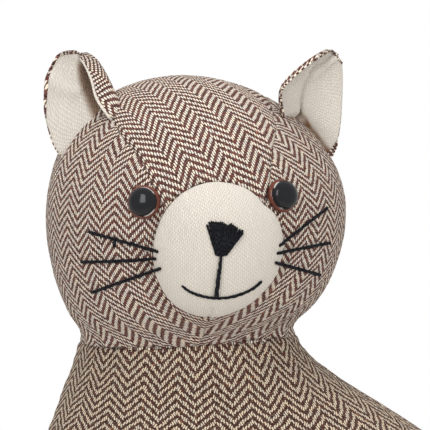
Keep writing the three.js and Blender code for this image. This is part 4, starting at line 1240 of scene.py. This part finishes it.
# Embroidery: places of its threads on the face, right and up from the middle of the muzzle, in mm of cloth.
MOUTH = ((-13.7, -11.1), (-11.2, -12.9), (-8.4, -14.2), (-4.3, -15.4), (-0.7, -16), (4.4, -16.1), (10, -15.1),
         (13.8, -13.7), (16.9, -11.5))
LIP = ((-0.2, 1.4), (-0.6, -4), (-0.8, -8), (-0.7, -16))
WHISKERS = {
    "left_whisker_upper": (
        (-23.8, 0.8), (-28.5, 0.9), (-31.6, 1.2), (-37.6, 2.2), (-47.9, 3.7), (-59.3, 4.9)),
    "left_whisker_middle": (
        (-24.8, -2.3), (-29.8, -3.9), (-33, -4.6), (-39.3, -5.9), (-50.5, -8.2), (-63.3, -11.6)),
    "left_whisker_lower": (
        (-22.3, -5.6), (-26.8, -8.6), (-29.7, -10.3), (-35.4, -13.4), (-45.1, -18.9), (-55.9, -26.1)),
    "right_whisker_upper": (
        (24.3, 0.9), (29.7, 1.4), (32.7, 2.3), (38.3, 4.3), (48, 7.9), (59.8, 11.1)),
    "right_whisker_middle": (
        (23, -1.7), (28.7, -3.1), (32.1, -3.6), (38.1, -4.2), (48.4, -5.2), (61.2, -7.3)),
    "right_whisker_lower": (
        (22.4, -5.3), (27.7, -8.3), (30.6, -9.8), (35.9, -12.4), (44.8, -16.8), (55.8, -22.8)),
}
WHISKER_STUB = ((-44.8, 2.9), (-45.2, 1), (-44.9, -0.6))  # loose end that hangs from the upper left one
NOSE_TOP = (
    (-5.2, 12.2), (-3.2, 13.3), (-1.2, 12.8), (0.8, 12.8), (2.2, 11.7), (4, 12), (5.6, 10.8), (8.1, 9.6))
NOSE_STITCHES = 18
LOOSE_STITCHES = 7  # more of them, thinner, that lie across the others


def nose_stitch(k):
    """Places of one stitch of the nose from top to foot, how far it stands out, and if it is a loose one."""
    loose = k >= NOSE_STITCHES
    share = 0.08 + 0.14 * (k - NOSE_STITCHES) if loose else k / (NOSE_STITCHES - 1)
    across = 0.13 * (-1) ** k if loose else 0
    top = spline([Vector((*p, 0)) for p in NOSE_TOP], share + across)
    top.y += 0.9 * noise.noise(Vector((k * 1.7, 4, 1))) - (1.2 if loose else 0)
    foot = Vector((-1.9 + 3.3 * share, 0.5 + 0.5 * abs(share - 0.5), 0))
    foot.y += 0.5 * noise.noise(Vector((k * 2.3, 1, 8))) + (0.8 if loose else 0)
    middle = (top + foot) / 2 + Vector((0.25 * math.sin(share * 9), 0, 0))
    bulge = 0.5 * math.sin(math.pi * share)
    bulge += 0.4 if loose else 0.25 * noise.noise(Vector((k * 1.3, 6, 2)))
    return ((top.x, top.y), (middle.x, middle.y), (foot.x, foot.y)), bulge, loose


class CAT_OT_embroider_face(bpy.types.Operator):
    """Embroider the nose, the mouth and the whiskers"""
    bl_idname = "cat.embroider_face"
    bl_label = "Embroider Face"

    def execute(self, context):
        sewing = context.scene.cat_sewing
        lines = [("lip_thread", LIP, sewing.lip), ("mouth_thread", MOUTH, sewing.mouth)]
        lines += [(name, places, sewing.whisker) for name, places in WHISKERS.items()]
        for name, places, thickness in lines:
            widths = (0.7, 1.2) if name == "lip_thread" else (1.0, 1.0)
            bm = floss(thread_route(places, 130, thickness / 2), thickness / 2, widths=widths)
            if name == "left_whisker_upper":
                joined(bm, floss(thread_route(WHISKER_STUB, 16, thickness / 2), thickness / 2 * 0.9))
            finished(f"{name}_floss", bm, thread_material(), [name])

        # Side by side stitches, with a few loose ones that lie across them.
        stitches = bmesh.new()
        for k in range(NOSE_STITCHES + LOOSE_STITCHES):
            places, bulge, loose = nose_stitch(k)
            route = thread_route(places, 36, 0.5, 0.15 - bulge)
            joined(stitches, floss(route, 0.38 if loose else 0.5, 14))
        finished("nose_satin_stitches", stitches, thread_material(), ["nose_satin_stitch"])
        return {"FINISHED"}


FIBRE_UNDER = 3.0  # depth of the fibre under the outside of the cloth, in mm


class CAT_OT_fill_fibre(bpy.types.Operator):
    """Fill the head and the body with loose fibre just under their cloth"""
    bl_idname = "cat.fill_fibre"
    bl_label = "Fill Fibre"

    def execute(self, context):
        around, stations = 90, 70
        tilts = [neck_tilt(2 * math.pi * n / around) for n in range(around)]

        def in_head(n, j):
            tilt = tilts[n] + (math.pi - tilts[n]) * max(j - 1, 0) / (stations - 1)
            d = polar(2 * math.pi * n / around, tilt)
            p = head_point(d, 0.5 * noise.noise(d * 9) - FIBRE_UNDER)
            return with_neck_raised(Vector((p.x, p.y, max(p.z, NECK.z + 0.5))))

        def in_body(n, j):
            down = 2 * min(max(j - 1, 0) / (stations - 2), 1)
            angle = 2 * math.pi * n / around
            ripple = noise.noise(Vector((math.cos(angle) * 5, math.sin(angle) * 5, down * 8)))
            p = body_point(angle, down, 0.5 * ripple - FIBRE_UNDER)
            return with_neck_raised(Vector((p.x, p.y, min(max(p.z, BODY_BOTTOM + 1.5), NECK.z - 0.5))))

        for name, place in (("head", in_head), ("body", in_body)):
            bm = tube(stations, around, place, lambda n, j: (n * 3, j * 3))
            piece = finished(f"{name}_fibre", bm, fibre_material(), [f"{name}_stuffing"])
        return {"FINISHED"}


class CAT_OT_finish_inside(bpy.types.Operator):
    """Give the weight bag and the washers their materials"""
    bl_idname = "cat.finish_inside"
    bl_label = "Finish Inside"

    def execute(self, context):
        # Calico is matt and finely grained, grit is dull with light and dark stones, and the moulded washers
        # are even with a soft gloss.
        looks = {
            ("weight_bag_upper_panel", "weight_bag_lower_panel"):
                plain_material("Plain calico", "E2D9C4", 0.95, 700, 0.1),
            ("weight_grit",): plain_material("Washed stone grit", "8A8378", 0.9, 350, 1.0, 0.5),
            ("left_eye_washer", "right_eye_washer"):
                plain_material("Moulded white polypropylene", "E8E6E0", 0.45, 500, 0.03, 0.05),
        }
        for nodes, material in looks.items():
            for node in nodes:
                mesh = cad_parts[node].data
                mesh.materials.clear()
                mesh.materials.append(material)
        return {"FINISHED"}


def area_light(name, place, power, size, target):
    """Rectangular lamp at a place in mm that looks at another."""
    data = bpy.data.lights.new(name, "AREA")
    data.energy = power
    data.shape = "RECTANGLE"
    data.size, data.size_y = size[0] * MM, size[1] * MM
    light = bpy.data.objects.new(name, data)
    light.location = Vector(place) * MM
    light.rotation_euler = (Vector(place) - target).to_track_quat("Z", "Y").to_euler()
    bpy.context.scene.collection.objects.link(light)
    return light


PICTURE = 430  # width of the picture, in pixels
NECK_FROM_MIDDLE = (27, 128)  # how far left of its middle and under it the neck is seen, in pixels
FLOOR_FADE = 0.8  # reach of the floor before it has faded out, in m


class CAT_OT_set_stage(bpy.types.Operator):
    """Set the floor, the light and the camera"""
    bl_idname = "cat.set_stage"
    bl_label = "Set Stage"

    def execute(self, context):
        scene = context.scene
        stage = scene.cat_stage
        scene.view_settings.view_transform = "Standard"
        view = Vector((0, math.cos(stage.elevation), -math.sin(stage.elevation)))
        aim = NECK + Vector((NECK_FROM_MIDDLE[0], 0, NECK_FROM_MIDDLE[1])) * stage.scale
        data = bpy.data.cameras.new("Camera")
        data.sensor_fit = "HORIZONTAL"
        data.lens = data.sensor_width * stage.distance / (PICTURE * stage.scale)
        data.clip_end = 20
        camera = bpy.data.objects.new("Camera", data)
        camera.location = (aim - view * stage.distance) * MM
        camera.rotation_euler = (-view).to_track_quat("Z", "Y").to_euler()
        scene.collection.objects.link(camera)
        scene.camera = camera

        # The key is a tall soft box that looks like a window in the eyes. The others show in no gloss.
        area_light("Key", (-560, -1150, 850), stage.key, (480, 850), HEAD_CENTRE)
        top = area_light("Top", (-80, -60, 1250), stage.top, (850, 850), HEAD_CENTRE)
        fill = area_light("Fill", (950, -1000, 450), stage.fill, (800, 800), HEAD_CENTRE)
        top.visible_glossy = fill.visible_glossy = False

        # The world is white to the camera and to gloss, and an even pale light on the object.
        world = bpy.data.worlds.new("Studio")
        scene.world = world
        world.use_nodes = True
        tree = world.node_tree
        tree.nodes.clear()
        path = add(tree, "ShaderNodeLightPath")
        value = {"seen": path.outputs["Is Camera Ray"]}
        worked_out(tree, value, (
            ("seen", "MAXIMUM", "seen", path.outputs["Is Glossy Ray"]),
            ("seen", "MAXIMUM", "seen", path.outputs["Is Transmission Ray"]),
        ))
        soft = add(tree, "ShaderNodeBackground", {"Color": linear("F4F3F2"), "Strength": stage.surround})
        white = add(tree, "ShaderNodeBackground", {"Color": (1, 1, 1, 1), "Strength": 1.0})
        shown = add(tree, "ShaderNodeMixShader", {0: value["seen"], 1: soft.outputs[0], 2: white.outputs[0]})
        add(tree, "ShaderNodeOutputWorld", {0: shown.outputs[0]})

        # Matt white board under the cat, fading out before its edge.
        board, tree, shader = new_material("Matt white board")
        shader.inputs["Base Color"].default_value = linear("F2F1EF")
        shader.inputs["Roughness"].default_value = 1.0
        shader.inputs["Specular IOR Level"].default_value = 0.1
        place = add(tree, "ShaderNodeTexCoord")
        reach = add(tree, "ShaderNodeVectorMath", {0: place.outputs["Object"]}, operation="LENGTH")
        fade = add(tree, "ShaderNodeMapRange", {
            "Value": reach.outputs["Value"], "From Min": 0.3, "From Max": FLOOR_FADE},
            interpolation_type="SMOOTHSTEP")
        clear = add(tree, "ShaderNodeBsdfTransparent")
        shown = add(tree, "ShaderNodeMixShader", {
            0: fade.outputs[0], 1: shader.outputs[0], 2: clear.outputs[0]})
        output = next(n for n in tree.nodes if n.bl_idname == "ShaderNodeOutputMaterial")
        tree.links.new(shown.outputs[0], output.inputs["Surface"])
        bm = bmesh.new()
        bmesh.ops.create_circle(bm, cap_ends=True, segments=96, radius=FLOOR_FADE + 0.05)
        mesh = bpy.data.meshes.new("floor")
        bm.to_mesh(mesh)
        bm.free()
        mesh.materials.append(board)
        floor = bpy.data.objects.new("floor", mesh)
        scene.collection.objects.link(floor)
        return {"FINISHED"}


PIECE_OPERATORS = (
    CAT_OT_set_stage, CAT_OT_sew_head, CAT_OT_stuff_muzzle, CAT_OT_sew_body, CAT_OT_stuff_tail,
    CAT_OT_sew_ears, CAT_OT_fit_eyes, CAT_OT_embroider_face, CAT_OT_fill_fibre, CAT_OT_finish_inside,
)
SETTINGS = {
    "cat_cloth": CatClothSettings, "cat_sewing": CatSewingSettings,
    "cat_eyes": CatEyeSettings, "cat_stage": CatStageSettings,
}


class CAT_PT_door_stop(bpy.types.Panel):
    """Steps and settings of the cat door stop"""
    bl_idname = "CAT_PT_door_stop"
    bl_label = "Cat Door Stop"
    bl_space_type = "VIEW_3D"
    bl_region_type = "UI"
    bl_category = "Cat"

    def draw(self, context):
        for operator in PIECE_OPERATORS:
            self.layout.operator(operator.bl_idname)
        for name, group in SETTINGS.items():
            box = self.layout.box()
            for key in group.__annotations__:
                box.prop(getattr(context.scene, name), key)


def register():
    """Add the operators, the panel and the scene's settings."""
    for cls in (*SETTINGS.values(), *PIECE_OPERATORS, CAT_PT_door_stop):
        bpy.utils.register_class(cls)
    for name, group in SETTINGS.items():
        setattr(bpy.types.Scene, name, PointerProperty(type=group))


def unregister():
    """Take them away again, in reverse."""
    for name in SETTINGS:
        delattr(bpy.types.Scene, name)
    for cls in (CAT_PT_door_stop, *reversed(PIECE_OPERATORS), *reversed(list(SETTINGS.values()))):
        bpy.utils.unregister_class(cls)


def main():
    """Build the cat on its frame."""
    register()
    for operator in PIECE_OPERATORS:
        group, name = operator.bl_idname.split(".")
        getattr(getattr(bpy.ops, group), name)()
    bpy.context.view_layer.update()


if __name__ == "__main__":
    main()
